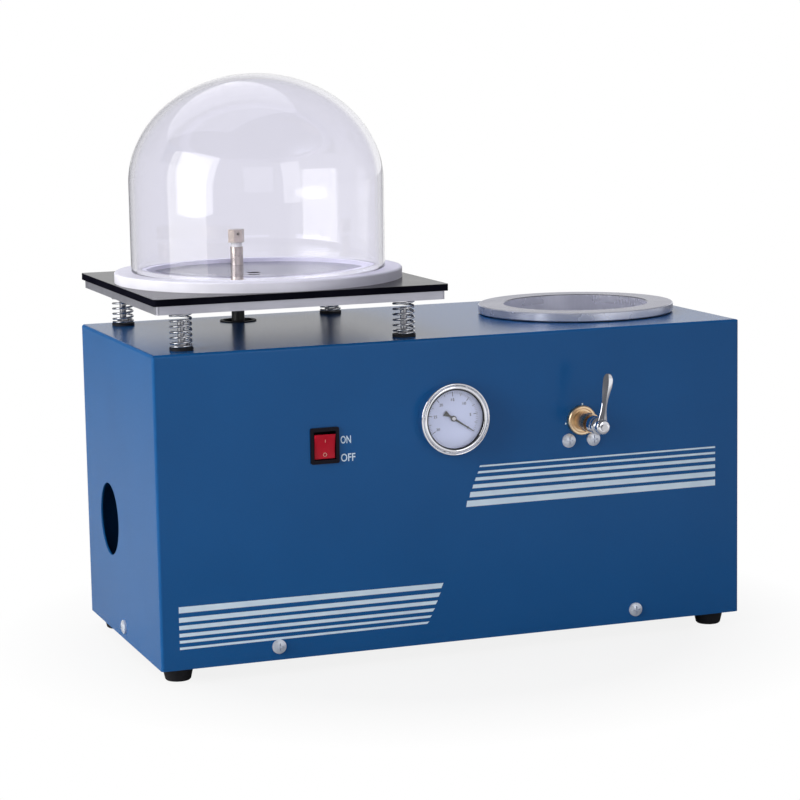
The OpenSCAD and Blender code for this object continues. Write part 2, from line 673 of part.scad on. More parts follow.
module table_floor() color("lightgray") in_cabinet() difference() {
    translate([table_x, table_y, seal_z]) cylinder(r = seal_bore_d/2 - seat, h = floor_t, $fn = fine);
    translate([pipe_x, pipe_y, seal_z - eps]) cylinder(r = pipe_d/2 - 1 + bolt_fit, h = floor_t + 2*eps);
    translate([screw_x, table_y, seal_z - eps])
        cylinder(r = 2.5 + bolt_fit, h = floor_t + 2*eps, $fn = coarse);
    translate([screw_x, table_y, floor_z - 3])
        cylinder(r1 = 2.7, r2 = floor_screw_d/2 + bolt_fit, h = 3 + seat);
}

// A countersunk screw with a hexagon socket
module floor_screw() color("dimgray") in_cabinet() translate([screw_x, table_y, 0]) difference() {
    union() {
        translate([0, 0, floor_z - 3]) cylinder(r1 = 2.5, r2 = floor_screw_d/2, h = 3);
        translate([0, 0, plate_z + 2]) cylinder(r = 2.5, h = floor_z - plate_z - 4, $fn = coarse);
    }
    translate([0, 0, floor_z - 2]) hex_prism(4, 3);
}

module coil(i) color("silver") in_cabinet() translate([springs_at[i][0], springs_at[i][1], spring_foot_z])
    swept_rod(spring_path, wire_d/2, 6, [1, 0, 0]);
module spring_front_left() coil(0);
module spring_rear_left() coil(1);
module spring_front_right() coil(2);
module spring_rear_right() coil(3);

// Each bolt guides its spring and ends short of the table plate
module guide_bolts() color("gainsboro") in_cabinet() for (p = springs_at) translate([p[0], p[1], 0]) {
    translate([0, 0, cab_h - sheet_t - 12])
        cylinder(d = guide_d, h = spring_gap + 12 + sheet_t - table_travel - 3);
    translate([0, 0, cab_h - sheet_t - 6]) hex_prism(guide_d*1.65, 6);
    translate([0, 0, spring_foot_z]) hex_prism(guide_d*1.65, 4);
}

module spring_washers() color("black") in_cabinet() for (p = springs_at) translate([p[0], p[1], cab_h])
    ring(spring_d/2 + soft_gap, guide_d/2 + bolt_fit, spring_washer_t);

// Rubber edging in the hose's hole: a thin lip above and below the sheet
module hose_grommet() color("black") in_cabinet() translate([pipe_x, pipe_y, cab_h]) rotate_extrude()
    let (r = hose_hole_d/2 - seat, w = 2) polygon([[r - w, -sheet_t - 1.5], [r + w, -sheet_t - 1.5],
        [r + w, -sheet_t], [r, -sheet_t], [r, 0], [r + w - 1, 0], [r + w - 1, 1], [r - w, 1]]);

// The standpipe stands on a shoulder on the floor; its thread passes through the table to a nut
module standpipe() color("goldenrod") in_cabinet() translate([pipe_x, pipe_y, 0]) difference() {
    union() {
        translate([0, 0, floor_z]) cylinder(d = pipe_d, h = pipe_h);
        translate([0, 0, plate_z - 7]) cylinder(r = pipe_d/2 - 1, h = floor_z - plate_z + 7 + eps);
        translate([0, 0, plate_z - 7 - barb_len]) cylinder(d = barb_d, h = barb_len + eps);
        translate([0, 0, floor_z + pipe_h - eps])
            cylinder(r = pipe_d/2 - 2.5, h = eps + tape_h + pipe_head_h*0.5);
    }
    translate([0, 0, plate_z - 8 - barb_len]) cylinder(r = 2, h = 100 + floor_z - plate_z, $fn = coarse);
}

module thread_tape() color("white") in_cabinet() translate([pipe_x, pipe_y, floor_z + pipe_h])
    ring(pipe_d/2 - 0.9, pipe_d/2 - 2.5 + seat, tape_h);

module standpipe_head() color("darkgoldenrod") in_cabinet()
    translate([pipe_x, pipe_y, floor_z + pipe_h + tape_h]) difference() {
        hex_prism(pipe_head_af, pipe_head_h);
        translate([0, 0, -eps]) cylinder(r = pipe_d/2 - 2.5 + thread_fit, h = pipe_head_h - 2 + eps);
        translate([0, 20, pipe_head_h - 4]) rotate([90, 0, 0]) cylinder(r = 1.3, h = 40, $fn = coarse);
    }

module standpipe_nut() color("goldenrod") in_cabinet() translate([pipe_x, pipe_y, plate_z - 6]) difference() {
    hex_prism(17, 6);
    translate([0, 0, -eps]) cylinder(r = pipe_d/2 - 1 + thread_fit, h = 6 + 2*eps);
}

// ---- Bell jar ----

// Points of a quarter ellipse from its foot to its top
function quarter(a, b, n) = [for (i = [0:n]) [a*cos(90*i/n), b*sin(90*i/n)]];

function upwards(points, z) = [for (p = points) [p[0], p[1] + z]];
function backwards(points) = [for (i = [len(points) - 1:-1:0]) points[i]];

module bell_jar() color("lavender", 0.35) in_cabinet() translate([table_x, table_y, jar_z])
    rotate_extrude($fn = fine) polygon(concat([[jar_d/2 - jar_t, 0], [jar_d/2, 0]],
        upwards(quarter(jar_d/2, jar_dome_h, 16), jar_straight_h),
        backwards(upwards(quarter(jar_d/2 - jar_t, jar_dome_h - jar_t, 16), jar_straight_h))));

// ---- Casting chamber ----

module chamber_ring() color("silver") in_cabinet() translate([cast_x, cast_y, ring_z])
    rotate_extrude($fn = fine) let (c = 0.8) polygon([[cast_bore_d/2, 0], [ring_d/2 - c, 0], [ring_d/2, c],
        [ring_d/2, ring_t - c], [ring_d/2 - c, ring_t], [cast_bore_d/2 + c, ring_t],
        [cast_bore_d/2, ring_t - c]]);

module ring_gasket() color("black") in_cabinet() translate([cast_x, cast_y, cab_h]) difference() {
    cylinder(r = ring_d/2 - 2, h = ring_gasket_t, $fn = fine);
    translate([0, 0, -eps])
        cylinder(r = cast_bore_d/2 + cup_t + bolt_fit, h = ring_gasket_t + 2*eps, $fn = fine);
}

// A cup with a threaded outside, standing in the ring from below
module chamber_cup() color("gainsboro") in_cabinet() translate([cast_x, cast_y, ring_z - cup_depth])
    difference() {
    translate([0, 0, -cup_t]) cylinder(r = cast_bore_d/2 + cup_t, h = cup_depth + cup_t, $fn = fine);
    cylinder(r = cast_bore_d/2, h = cup_depth + eps, $fn = fine);
    translate([0, 0, -cup_t - eps]) cylinder(d = port_d, h = cup_t + 2*eps, $fn = coarse);
}

module clamp_nut() color("darkgray") in_cabinet() translate([cast_x, cast_y, cab_h - sheet_t - clamp_t])
    difference() {
        cylinder(r = ring_d/2 - 6, h = clamp_t, $fn = fine);
        translate([0, 0, -eps])
            cylinder(r = cast_bore_d/2 + cup_t + thread_fit, h = clamp_t + 2*eps, $fn = fine);
        for (a = [0:60:300]) rotate(a) translate([ring_d/2 - 12, -4, -eps])
            cube([12, 8, clamp_t + 2*eps]);
    }

// A brass elbow under the cup, with its barb towards the valve's hose
module chamber_port() color("goldenrod") in_cabinet() translate([cast_x, cast_y, cup_floor_z]) difference() {
    union() {
        cylinder(d = port_d - 2*bolt_fit, h = cup_t);
        translate([-port_block/2, -port_block/2, -port_block]) cube(port_block);
        translate([-port_block/2 - barb_len, 0, -port_block/2]) rotate([0, 90, 0])
            cylinder(d = barb_d, h = barb_len + eps);
    }
    translate([0, 0, -port_block/2]) {
        cylinder(r = port_hole_r, h = port_block, $fn = coarse);
        translate([-port_block/2 - barb_len - eps, 0, 0]) rotate([0, 90, 0])
            cylinder(r = port_hole_r, h = port_block/2 + barb_len + eps, $fn = coarse);
    }
}

// ---- Gauge ----

module at_gauge() in_cabinet() facing_front(gauge_x, gauge_z) children();

module gauge_case() color("dimgray") at_gauge() {
    difference() {
        union() {
            translate([0, 0, -rim_reach]) cylinder(r = rim_r, h = rim_reach);
            cylinder(r = case_r, h = gauge_depth);
        }
        translate([0, 0, -rim_reach - eps])
            cylinder(r = case_r - case_wall, h = rim_reach + eps + dial_y + dial_t);
        translate([0, 0, dial_y])
            cylinder(r = case_r - 2*case_wall, h = gauge_depth - dial_y - case_wall);
        translate([0, 0, gauge_depth - 2*case_wall]) cylinder(d = 4, h = 3*case_wall, $fn = coarse);
    }
    difference() {
        union() {
            translate([0, 0, gauge_depth]) hex_prism(gauge_stem_d, gauge_stem_len - 2);
            translate([0, 0, gauge_depth]) cylinder(d = barb_d, h = gauge_stem_len + barb_len);
        }
        translate([0, 0, gauge_depth - eps])
            cylinder(d = 4, h = gauge_stem_len + barb_len + 2*eps, $fn = coarse);
    }
}

module gauge_bezel() color("lightsteelblue") at_gauge() translate([0, 0, -bezel_h]) rotate_extrude($fn = fine)
    let (r = bezel_d/2) polygon([[dial_open_d/2, 0.6], [dial_open_d/2 + 0.8, 0], [r - 2, 0], [r - 0.6, 0.7],
        [r, 2.2], [r, bezel_h], [rim_r + seat, bezel_h], [rim_r + seat, bezel_lip],
        [dial_open_d/2, bezel_lip]]);

module gauge_lens() color("white", 0.3) at_gauge() translate([0, 0, -bezel_h + bezel_lip])
    cylinder(r = rim_r - seat, h = lens_t);

// The dial and, behind it, the bushed plate that carries the pointer's spindle
module gauge_dial() color("white") at_gauge() difference() {
    union() {
        translate([0, 0, dial_y]) cylinder(r = case_r - case_wall - seat, h = dial_t);
        translate([0, 0, dial_y]) cylinder(r = 4, h = 12);
        translate([-3, -case_r + 2*case_wall + 1, dial_y + dial_t]) cube([6, case_r, 3]);
    }
    translate([0, 0, dial_y - eps]) cylinder(d = spindle_d + 2*shaft_fit, h = 12, $fn = coarse);
}

module gauge_pointer() color("black") at_gauge() {
    translate([0, 0, pointer_y]) cylinder(d = 5, h = 1.4, $fn = coarse);
    translate([0, 0, pointer_y]) cylinder(d = spindle_d, h = -pointer_y + dial_y + 9, $fn = coarse);
    translate([0, 0, pointer_y]) rotate(-pointer_rest) linear_extrude(pointer_t)
        polygon([[pointer_len, -0.25], [pointer_len, 0.25], [0, 1], [-5, 0.9], [-10, 2.6], [-10, -2.6],
            [-5, -0.9], [0, -1]]);
}

// A bar across the back of the case, with two legs to the cabinet's front
module gauge_clamp() color("silver") in_cabinet() difference() {
    translate([gauge_x - clamp_bar[0]/2, sheet_t, gauge_z - clamp_bar[2]/2])
        cube([clamp_bar[0], gauge_depth - sheet_t + clamp_bar[1], clamp_bar[2]]);
    translate([gauge_x - clamp_bar[0]/2 + clamp_bar[1], 0, gauge_z - clamp_bar[2]])
        cube([clamp_bar[0] - 2*clamp_bar[1], gauge_depth, 2*clamp_bar[2]]);
    facing_front(gauge_x, gauge_z) cylinder(d = gauge_stem_d/cos(30) + 2*bolt_fit, h = 2*gauge_depth);
}

// ---- Valve ----

module at_valve() in_cabinet() facing_front(valve_x, valve_z) children();

// Body behind the front with three ports and a barb each, and its bonnet through the front
module valve_body() color("goldenrod") at_valve() difference() {
    union() {
        translate([0, 0, valve_back]) cylinder(d = valve_body_d, h = valve_body_len);
        translate([0, 0, -bonnet_reach]) cylinder(d = bonnet_d, h = bonnet_reach + valve_back + eps);
        for (a = [0, 90, 180]) translate([0, 0, valve_mid_y]) rotate([0, 90, a]) {
            cylinder(d = 14, h = side_port);
            cylinder(d = barb_d, h = side_port + barb_len);
        }
        translate([0, 0, valve_back + valve_body_len - eps]) cylinder(d = 14, h = 3);
        translate([0, 0, valve_back + valve_body_len - eps]) cylinder(d = barb_d, h = 3 + barb_len);
    }
    translate([0, 0, plug_y - seat]) cylinder(d = plug_d + 2*shaft_fit, h = plug_len + 2*seat);
    translate([0, 0, -bonnet_reach - eps]) cylinder(d = stem_d + 2*shaft_fit, h = bonnet_reach + plug_y + eps);
    for (a = [0, 90, 180]) translate([0, 0, valve_mid_y]) rotate([0, 90, a])
        cylinder(r = port_hole_r, h = side_port + barb_len + eps, $fn = coarse);
    translate([0, 0, plug_y + plug_len])
        cylinder(r = port_hole_r, h = valve_body_len + barb_len, $fn = coarse);
}

module valve_collar() color("darkgoldenrod") at_valve() translate([0, 0, -collar_t]) rotate_extrude()
    let (r = collar_d/2, b = bonnet_d/2 + thread_fit) polygon([[b, 0.8], [r - 3, 0.8], [r - 2.4, 0],
        [r - 0.8, 0], [r, 0.8], [r, collar_t], [b, collar_t]]);

// The ported plug turns in the body; its stem carries the lever
module valve_plug() color("goldenrod") at_valve() difference() {
    union() {
        translate([0, 0, plug_y]) cylinder(d = plug_d, h = plug_len);
        translate([0, 0, -lever_reach]) cylinder(d = stem_d, h = lever_reach + plug_y + eps);
    }
    translate([0, 0, valve_mid_y]) rotate([0, 90, -90]) cylinder(r = port_hole_r, h = plug_d, $fn = coarse);
    translate([0, 0, valve_mid_y]) cylinder(r = port_hole_r, h = plug_len, $fn = coarse);
    translate([0, 0, -lever_reach - eps]) cylinder(r = 1.5 + thread_fit, h = 10 + eps, $fn = coarse);
}

// The arm's four rounds, from the hub past the narrow neck to the tip
lever_rounds = [[0, 0, hub_d*0.4], [lever_lean*0.21, lever_len*0.32, 3],
    [lever_lean*0.64, lever_len*0.64, 3.6], [lever_lean, lever_len - 4.2, 4.2]];
module lever_round(i) translate([lever_rounds[i][0], -lever_rounds[i][1]])
    circle(r = lever_rounds[i][2], $fn = 32);

// A hub with a boss behind it and an upright arm that narrows at its neck and widens to a round tip
module valve_lever() color("silver") at_valve() translate([0, 0, -hub_front]) difference() {
    union() {
        cylinder(d = hub_d, h = hub_t + eps);
        translate([0, 0, hub_t]) cylinder(d = boss_d, h = boss_len);
        translate([0, 0, hub_t*0.2]) linear_extrude(hub_t*0.6) for (i = [0:2]) hull() {
            lever_round(i);
            lever_round(i + 1);
        }
    }
    translate([0, 0, hub_t/2]) cylinder(d = stem_d + 2*seat, h = hub_t + boss_len);
    translate([0, 0, -eps]) cylinder(r = 1.5 + bolt_fit, h = hub_t, $fn = coarse);
}

module lever_screw() color("silver") at_valve() translate([0, 0, -hub_front]) {
    translate([0, 0, -lever_screw_h]) hex_prism(5.5, lever_screw_h);
    translate([0, 0, -eps/2]) cylinder(r = 1.5, h = hub_t/2 + 8, $fn = coarse);
}

module valve_bracket() color("silver") in_cabinet() difference() {
    translate([valve_x - valve_plate[0]/2, sheet_t, valve_z - valve_plate[2]/2 - 5]) cube(valve_plate);
    facing_front(valve_x, valve_z) cylinder(d = bonnet_d + 2*bolt_fit, h = 2*valve_back);
    for (s = [-1, 1]) facing_front(valve_x + s*valve_screw_gap/2, valve_z - valve_screw_drop)
        cylinder(d = valve_thread_d + 2*bolt_fit, h = 2*valve_back, $fn = coarse);
}

module valve_screws() color("silver") in_cabinet() for (s = [-1, 1])
    translate([valve_x + s*valve_screw_gap/2, 0, valve_z - valve_screw_drop]) rotate([90, 0, 0]) {
        pan_screw(pan_head_d, pan_head_h, valve_thread_d, valve_back + 6);
        translate([0, 0, -valve_back - 3]) hex_prism(7, 3);
    }

// ---- Switch ----

module at_switch() in_cabinet() translate([switch_x, 0, switch_z]) children();

module switch_body() color("black") at_switch() {
    difference() {
        union() {
            translate([0, -switch_lip, 0]) rotate([-90, 0, 0])
                rounded_plate(switch_w, switch_h, switch_lip, 1.5);
            translate([-switch_body[0]/2, -eps, -switch_body[2]/2])
                cube([switch_body[0], switch_body[1] + eps, switch_body[2]]);
        }
        translate([-rocker_open[0]/2, -switch_lip - eps, -rocker_open[1]/2])
            cube([rocker_open[0], switch_lip + eps + pivot_y + rocker_back + 3, rocker_open[1]]);
        along_x([-rocker_open[0]/2 - 1, pivot_y, 0])
            cylinder(d = pivot_d + 2*shaft_fit, h = rocker_open[0] + 2, $fn = coarse);
    }
    for (z = [-9, 0, 9]) translate([-blade[2]/2, switch_body[1] - eps, z - blade[0]/2])
        cube([blade[2], blade[1] + eps, blade[0]]);
}

// At rest the lower half is pressed in: off
module switch_rocker() color("red") at_switch() translate([0, pivot_y, 0]) rotate([rocker_turn/2, 0, 0]) {
    rotate([90, 0, 90]) translate([0, 0, -rocker_w/2]) linear_extrude(rocker_w)
        polygon([[-rocker_front, rocker_h/2], [-rocker_front + 1, 0], [-rocker_front, -rocker_h/2],
            [0, -rocker_h/2 + 1.5], [rocker_back, -4], [rocker_back, 4], [0, rocker_h/2 - 1.5]]);
    along_x([-rocker_w/2 - 1, 0, 0]) cylinder(d = pivot_d, h = rocker_w + 2, $fn = coarse);
}

// ---- Hoses and wiring ----

// From the standpipe's barb straight down through the cabinet's top; it gives as the table moves
module table_hose() color("black") in_cabinet() translate([pipe_x, pipe_y, hose_low_z])
    ring(hose_d/2, hose_bore/2, plate_z - 7 - hose_low_z - soft_gap);

module hose_elbow() color("goldenrod") in_cabinet() translate(elbow) difference() {
    union() {
        translate([-elbow_block/2, -elbow_block/2, -elbow_block/2])
            cube([elbow_block, elbow_block, hose_low_z - elbow_z + elbow_block/2]);
        cylinder(d = barb_d, h = hose_low_z - elbow_z + barb_len);
        rotate([0, 90, 0]) cylinder(d = barb_d, h = elbow_block/2 + barb_len);
    }
    cylinder(r = port_hole_r, h = 60, $fn = coarse);
    rotate([0, 90, 0]) cylinder(r = port_hole_r, h = 60, $fn = coarse);
}

module vacuum_hoses() color("dimgray") in_cabinet() {
    hose(table_run);
    hose(suction_run, [1, 0, 0]);
    hose(cup_run);
    hose(gauge_run);
    hose(exhaust_run, [1, 0, 0]);
}

module wiring() color("gray") in_cabinet() {
    swept_rod(route(switch_lead, 14), lead_d/2, 8, [0, 0, 1]);
    swept_rod(route(mains_lead, 14), lead_d/2, 8, [0, 0, 1]);
}

// ---- Pump and motor ----

module at_pump(dx = 0) in_cabinet() along_x([pump_x + dx, pump_y, pump_z]) children();

module pump_mounts() color("black") in_cabinet() for (p = mounts_at) translate([p[0], p[1], 0]) {
    translate([0, 0, sheet_t]) cylinder(r = mount_r, h = mount_h, $fn = coarse);
    translate([0, 0, -2]) cylinder(d = mount_stud_d, h = sheet_t + mount_h + pump_plate_t + 8, $fn = coarse);
}

module pump_plate() color("dimgray") in_cabinet() difference() {
    union() {
        translate([pump_x + motor_x + cast_wall, pump_y - pump_w/2, pump_foot_z])
            cube([motor_len - 2*cast_wall, pump_w, pump_plate_t]);
        for (x = [saddle_in, motor_len - saddle_in - saddle[0]])
            translate([pump_x + motor_x + x, pump_y - saddle[1]/2, pump_foot_z]) cube(saddle);
    }
    along_x([pump_x, pump_y, pump_z]) cylinder(r = motor_r + seat, h = 2*motor_len, $fn = fine);
    for (p = mounts_at) translate([p[0], p[1], 0])
        cylinder(d = mount_stud_d + 2*bolt_fit, h = motor_r, $fn = coarse);
}

// The oil case is a box with the sight glass in its left end, a filler and two ports on top
module oil_case() color("lightgray") in_cabinet() difference() {
    union() {
        translate([pump_x, pump_y - oil_size[1]/2, pump_top_z - oil_size[2]]) cube(oil_size);
        for (x = [suction_x, blow_x]) translate([x, pump_y, pump_top_z]) {
            cylinder(d = port_neck[0], h = port_neck[1]);
            cylinder(d = barb_d, h = port_neck[1] + barb_len);
        }
        translate([pump_x + oil_len*0.5, pump_y + pump_w*0.31, pump_top_z])
            cylinder(d = filler[0], h = filler[1]);
    }
    translate([pump_x + cast_wall, pump_y - oil_size[1]/2 + cast_wall, pump_top_z - oil_size[2] + cast_wall])
        cube([oil_size[0], oil_size[1] - 2*cast_wall, oil_size[2] - 2*cast_wall]);
    along_x([pump_x - eps, sight_y, sight_z]) cylinder(r = sight_r + seat, h = cast_wall + 2*eps);
    translate([blow_x, pump_y, pump_top_z - cast_wall - eps]) cylinder(r = port_hole_r, h = 60, $fn = coarse);
    translate([suction_x, pump_y, pump_top_z - cast_wall - eps])
        cylinder(r = port_hole_r, h = 60, $fn = coarse);
}

module sight_glass() color("khaki", 0.6) in_cabinet() along_x([pump_x - 1, sight_y, sight_z]) {
    translate([0, 0, 0.5]) cylinder(r = sight_r, h = cast_wall + 0.5);
    difference() {
        cylinder(r = sight_r + sight_rim, h = 1);
        translate([0, 0, -eps]) cylinder(r = sight_r - 3, h = 1 + eps);
    }
}

// The pump's head: a cylinder with an offset bore, bolted to the motor's end
module pump_head() color("darkgray") at_pump(pump_head_x) difference() {
    cylinder(r = pump_head_r, h = motor_x - pump_head_x);
    translate([-pump_offset, 0, 6]) cylinder(r = pump_bore_r, h = motor_x - pump_head_x - 12);
    translate([0, 0, -eps]) cylinder(r = shaft_d/2 + shaft_fit, h = motor_x, $fn = coarse);
}

// Rotor on the shaft with two slots for its vanes, drawn with the vanes in
module pump_rotor() color("silver") at_pump(pump_head_x + 6 + soft_gap) difference() {
    cylinder(r = pump_rotor_r, h = motor_x - pump_head_x - 12 - 2*soft_gap);
    translate([0, 0, -eps]) cylinder(r = shaft_d/2 + seat, h = motor_x, $fn = coarse);
    for (a = [0, 180]) rotate(a) translate([shaft_d/2 + 4, -1.5, -eps]) cube([20, 3, motor_x]);
}

module motor_housing() color("slategray") at_pump(motor_x) difference() {
    union() {
        cylinder(r = motor_r, h = motor_len, $fn = fine);
        translate([motor_box_sink - motor_box[2] - motor_r, -motor_box[1]/2, motor_box_x - pump_x - motor_x])
            cube([motor_box[2], motor_box[1], motor_box[0]]);
    }
    translate([0, 0, cast_wall]) cylinder(r = motor_r - cast_wall, h = motor_len - 2*cast_wall, $fn = fine);
    translate([0, 0, -eps]) cylinder(r = shaft_d/2 + 1, h = motor_len + 2*eps, $fn = coarse);
    for (a = [-50:20:50], s = [0, 180]) rotate(a + s + 90) translate([motor_r - 1.6, -1.2, cast_wall + 4])
        cube([4, 2.4, motor_len - 2*cast_wall - 8]);
}

// Bearings on both end walls, and the wound ring between them
module motor_stator() color("peru") at_pump(motor_x) {
    for (z = [cast_wall, motor_len - cast_wall - bearing_w]) translate([0, 0, z])
        ring(bearing_r, shaft_d/2 + shaft_fit, bearing_w);
    translate([0, 0, winding_in])
        ring(motor_r - cast_wall - seat, core_r + core_gap, motor_len - 2*winding_in);
    for (z = [winding_in - winding_end, motor_len - winding_in]) translate([0, 0, z])
        ring(core_r + winding_wall, core_r + 4*core_gap, winding_end);
}

module motor_shaft() color("silver") at_pump() {
    translate([0, 0, pump_head_x + 2])
        cylinder(d = shaft_d, h = motor_x + motor_len + fan_gap + fan_len - pump_head_x);
    translate([0, 0, motor_x + winding_in + 2]) cylinder(r = core_r, h = motor_len - 2*winding_in - 4);
}

module cooling_fan() color("white") at_pump(motor_x + motor_len + fan_gap) difference() {
    union() {
        cylinder(r = fan_hub_r, h = fan_len);
        for (a = [0:60:300]) rotate(a) translate([fan_hub_r - 2, -1.2, 1])
            cube([fan_r - fan_hub_r + 2, 2.4, fan_len - 2]);
        cylinder(r = fan_r*0.8, h = 1.6);
    }
    translate([0, 0, -eps]) cylinder(r = shaft_d/2 + seat, h = fan_len + 2*eps, $fn = coarse);
}

// ---- Rear fittings ----

module exhaust_silencer() color("goldenrod") in_cabinet() facing_front(exhaust_x, exhaust_z, cab_d)
    difference() {
    union() {
        cylinder(r = silencer_r + 5, h = 5, $fn = 32);
        translate([0, 0, 5]) cylinder(r = silencer_r, h = silencer_reach - 7);
        translate([0, 0, silencer_reach - 2]) cylinder(r1 = silencer_r, r2 = silencer_r - 3, h = 2);
        translate([0, 0, -silencer_in]) cylinder(r = silencer_thread_r, h = silencer_in + eps);
        translate([0, 0, -silencer_in - barb_len]) cylinder(d = barb_d, h = barb_len + eps);
        translate([0, 0, -sheet_t - 4]) hex_prism(3*silencer_r, 4);
    }
    translate([0, 0, -silencer_in - barb_len - eps])
        cylinder(r = port_hole_r, h = barb_len + silencer_in + silencer_reach/2, $fn = coarse);
}

// A recessed three pin inlet for the mains lead
module mains_inlet() color("black") in_cabinet() translate([inlet_x, cab_d, inlet_z]) {
    difference() {
        union() {
            rotate([-90, 0, 0]) rounded_plate(inlet_w, inlet_h, inlet_t, 3);
            translate([-inlet_core[0]/2, -inlet_core[1], -inlet_core[2]/2])
                cube([inlet_core[0], inlet_core[1] + eps, inlet_core[2]]);
        }
        translate([-inlet_socket[0]/2, -inlet_socket[1], -inlet_socket[2]/2])
            cube([inlet_socket[0], inlet_socket[1] + inlet_t + eps, inlet_socket[2]]);
    }
    for (p = [[-7, -1.5], [0, 2], [7, -1.5]]) translate([p[0] - 1, -17, p[1] - 2]) cube([2, 14, 4]);
    for (x = [-7, 0, 7]) translate([x - 3, -inlet_back, -0.4]) cube([6, 6, 0.8]);
}

cabinet_shell();
base_pan();
rear_panel();
feet();
foot_screws();
cabinet_screws();
rear_panel_screws();
table_plate();
table_mat();
sealing_pad();
table_floor();
floor_screw();
spring_front_left();
spring_front_right();
spring_rear_left();
spring_rear_right();
guide_bolts();
spring_washers();
hose_grommet();
standpipe();
thread_tape();
standpipe_head();
standpipe_nut();
bell_jar();
chamber_ring();
ring_gasket();
chamber_cup();
clamp_nut();
chamber_port();
gauge_case();
gauge_bezel();
gauge_lens();
gauge_dial();
gauge_pointer();
gauge_clamp();
valve_body();
valve_collar();
valve_plug();
valve_lever();
lever_screw();
valve_bracket();
valve_screws();
switch_body();
switch_rocker();
table_hose();
hose_elbow();
vacuum_hoses();
wiring();
pump_plate();
pump_mounts();
oil_case();
sight_glass();
pump_head();
pump_rotor();
motor_housing();
motor_stator();
motor_shaft();
cooling_fan();
exhaust_silencer();
mains_inlet();
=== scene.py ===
"""Looks of a bench vacuum machine for jewellery casting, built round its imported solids."""
import math

import bpy
from mathutils import Matrix, Vector


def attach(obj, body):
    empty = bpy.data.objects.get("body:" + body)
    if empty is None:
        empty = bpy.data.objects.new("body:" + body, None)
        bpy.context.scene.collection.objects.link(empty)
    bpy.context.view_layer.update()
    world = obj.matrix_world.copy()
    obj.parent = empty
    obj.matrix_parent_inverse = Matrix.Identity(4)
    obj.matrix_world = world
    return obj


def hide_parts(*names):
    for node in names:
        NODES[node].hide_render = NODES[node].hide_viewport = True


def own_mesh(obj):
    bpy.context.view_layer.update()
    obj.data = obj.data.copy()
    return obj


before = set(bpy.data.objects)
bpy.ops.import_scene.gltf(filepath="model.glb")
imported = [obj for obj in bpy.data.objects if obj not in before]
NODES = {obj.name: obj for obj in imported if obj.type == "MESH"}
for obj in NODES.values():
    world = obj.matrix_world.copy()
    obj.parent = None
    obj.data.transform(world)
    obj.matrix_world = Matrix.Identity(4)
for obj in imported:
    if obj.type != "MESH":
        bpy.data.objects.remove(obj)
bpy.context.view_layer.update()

MM = 0.001
X_AXIS, Z_AXIS = 0, 2
# The cabinet's front left bottom corner in the frame, in mm
CORNER = Vector((-275.0, -113.5, 13.0))


def at(x, y, z):
    """A place in the frame, from mm measured at the cabinet's front left bottom corner."""
    return (Vector((x, y, z)) + CORNER) * MM


# ---------------------------------------------------------------- finishes


class Signal:
    """A socket of a finish's nodes, on which Python's operators work."""

    def __init__(self, finish, socket):
        self.finish, self.socket = finish, socket

    def maths(self, operation, *others):
        return self.finish.node("ShaderNodeMath", {"operation": operation}, [self, *others])

    def flipped(self, operation, other):
        return self.finish.node("ShaderNodeMath", {"operation": operation}, [other, self])

    def above(self, limit):
        """1 where this is over limit, and 0 elsewhere."""
        return self.maths("GREATER_THAN", limit)

    def either(self, other):
        """The higher of two."""
        return self.maths("MAXIMUM", other)

    def __add__(self, other):
        return self.maths("ADD", other)

    def __sub__(self, other):
        return self.maths("SUBTRACT", other)

    def __mul__(self, other):
        return self.maths("MULTIPLY", other)

    def __rsub__(self, other):
        return self.flipped("SUBTRACT", other)

    __radd__, __rmul__ = __add__, __mul__


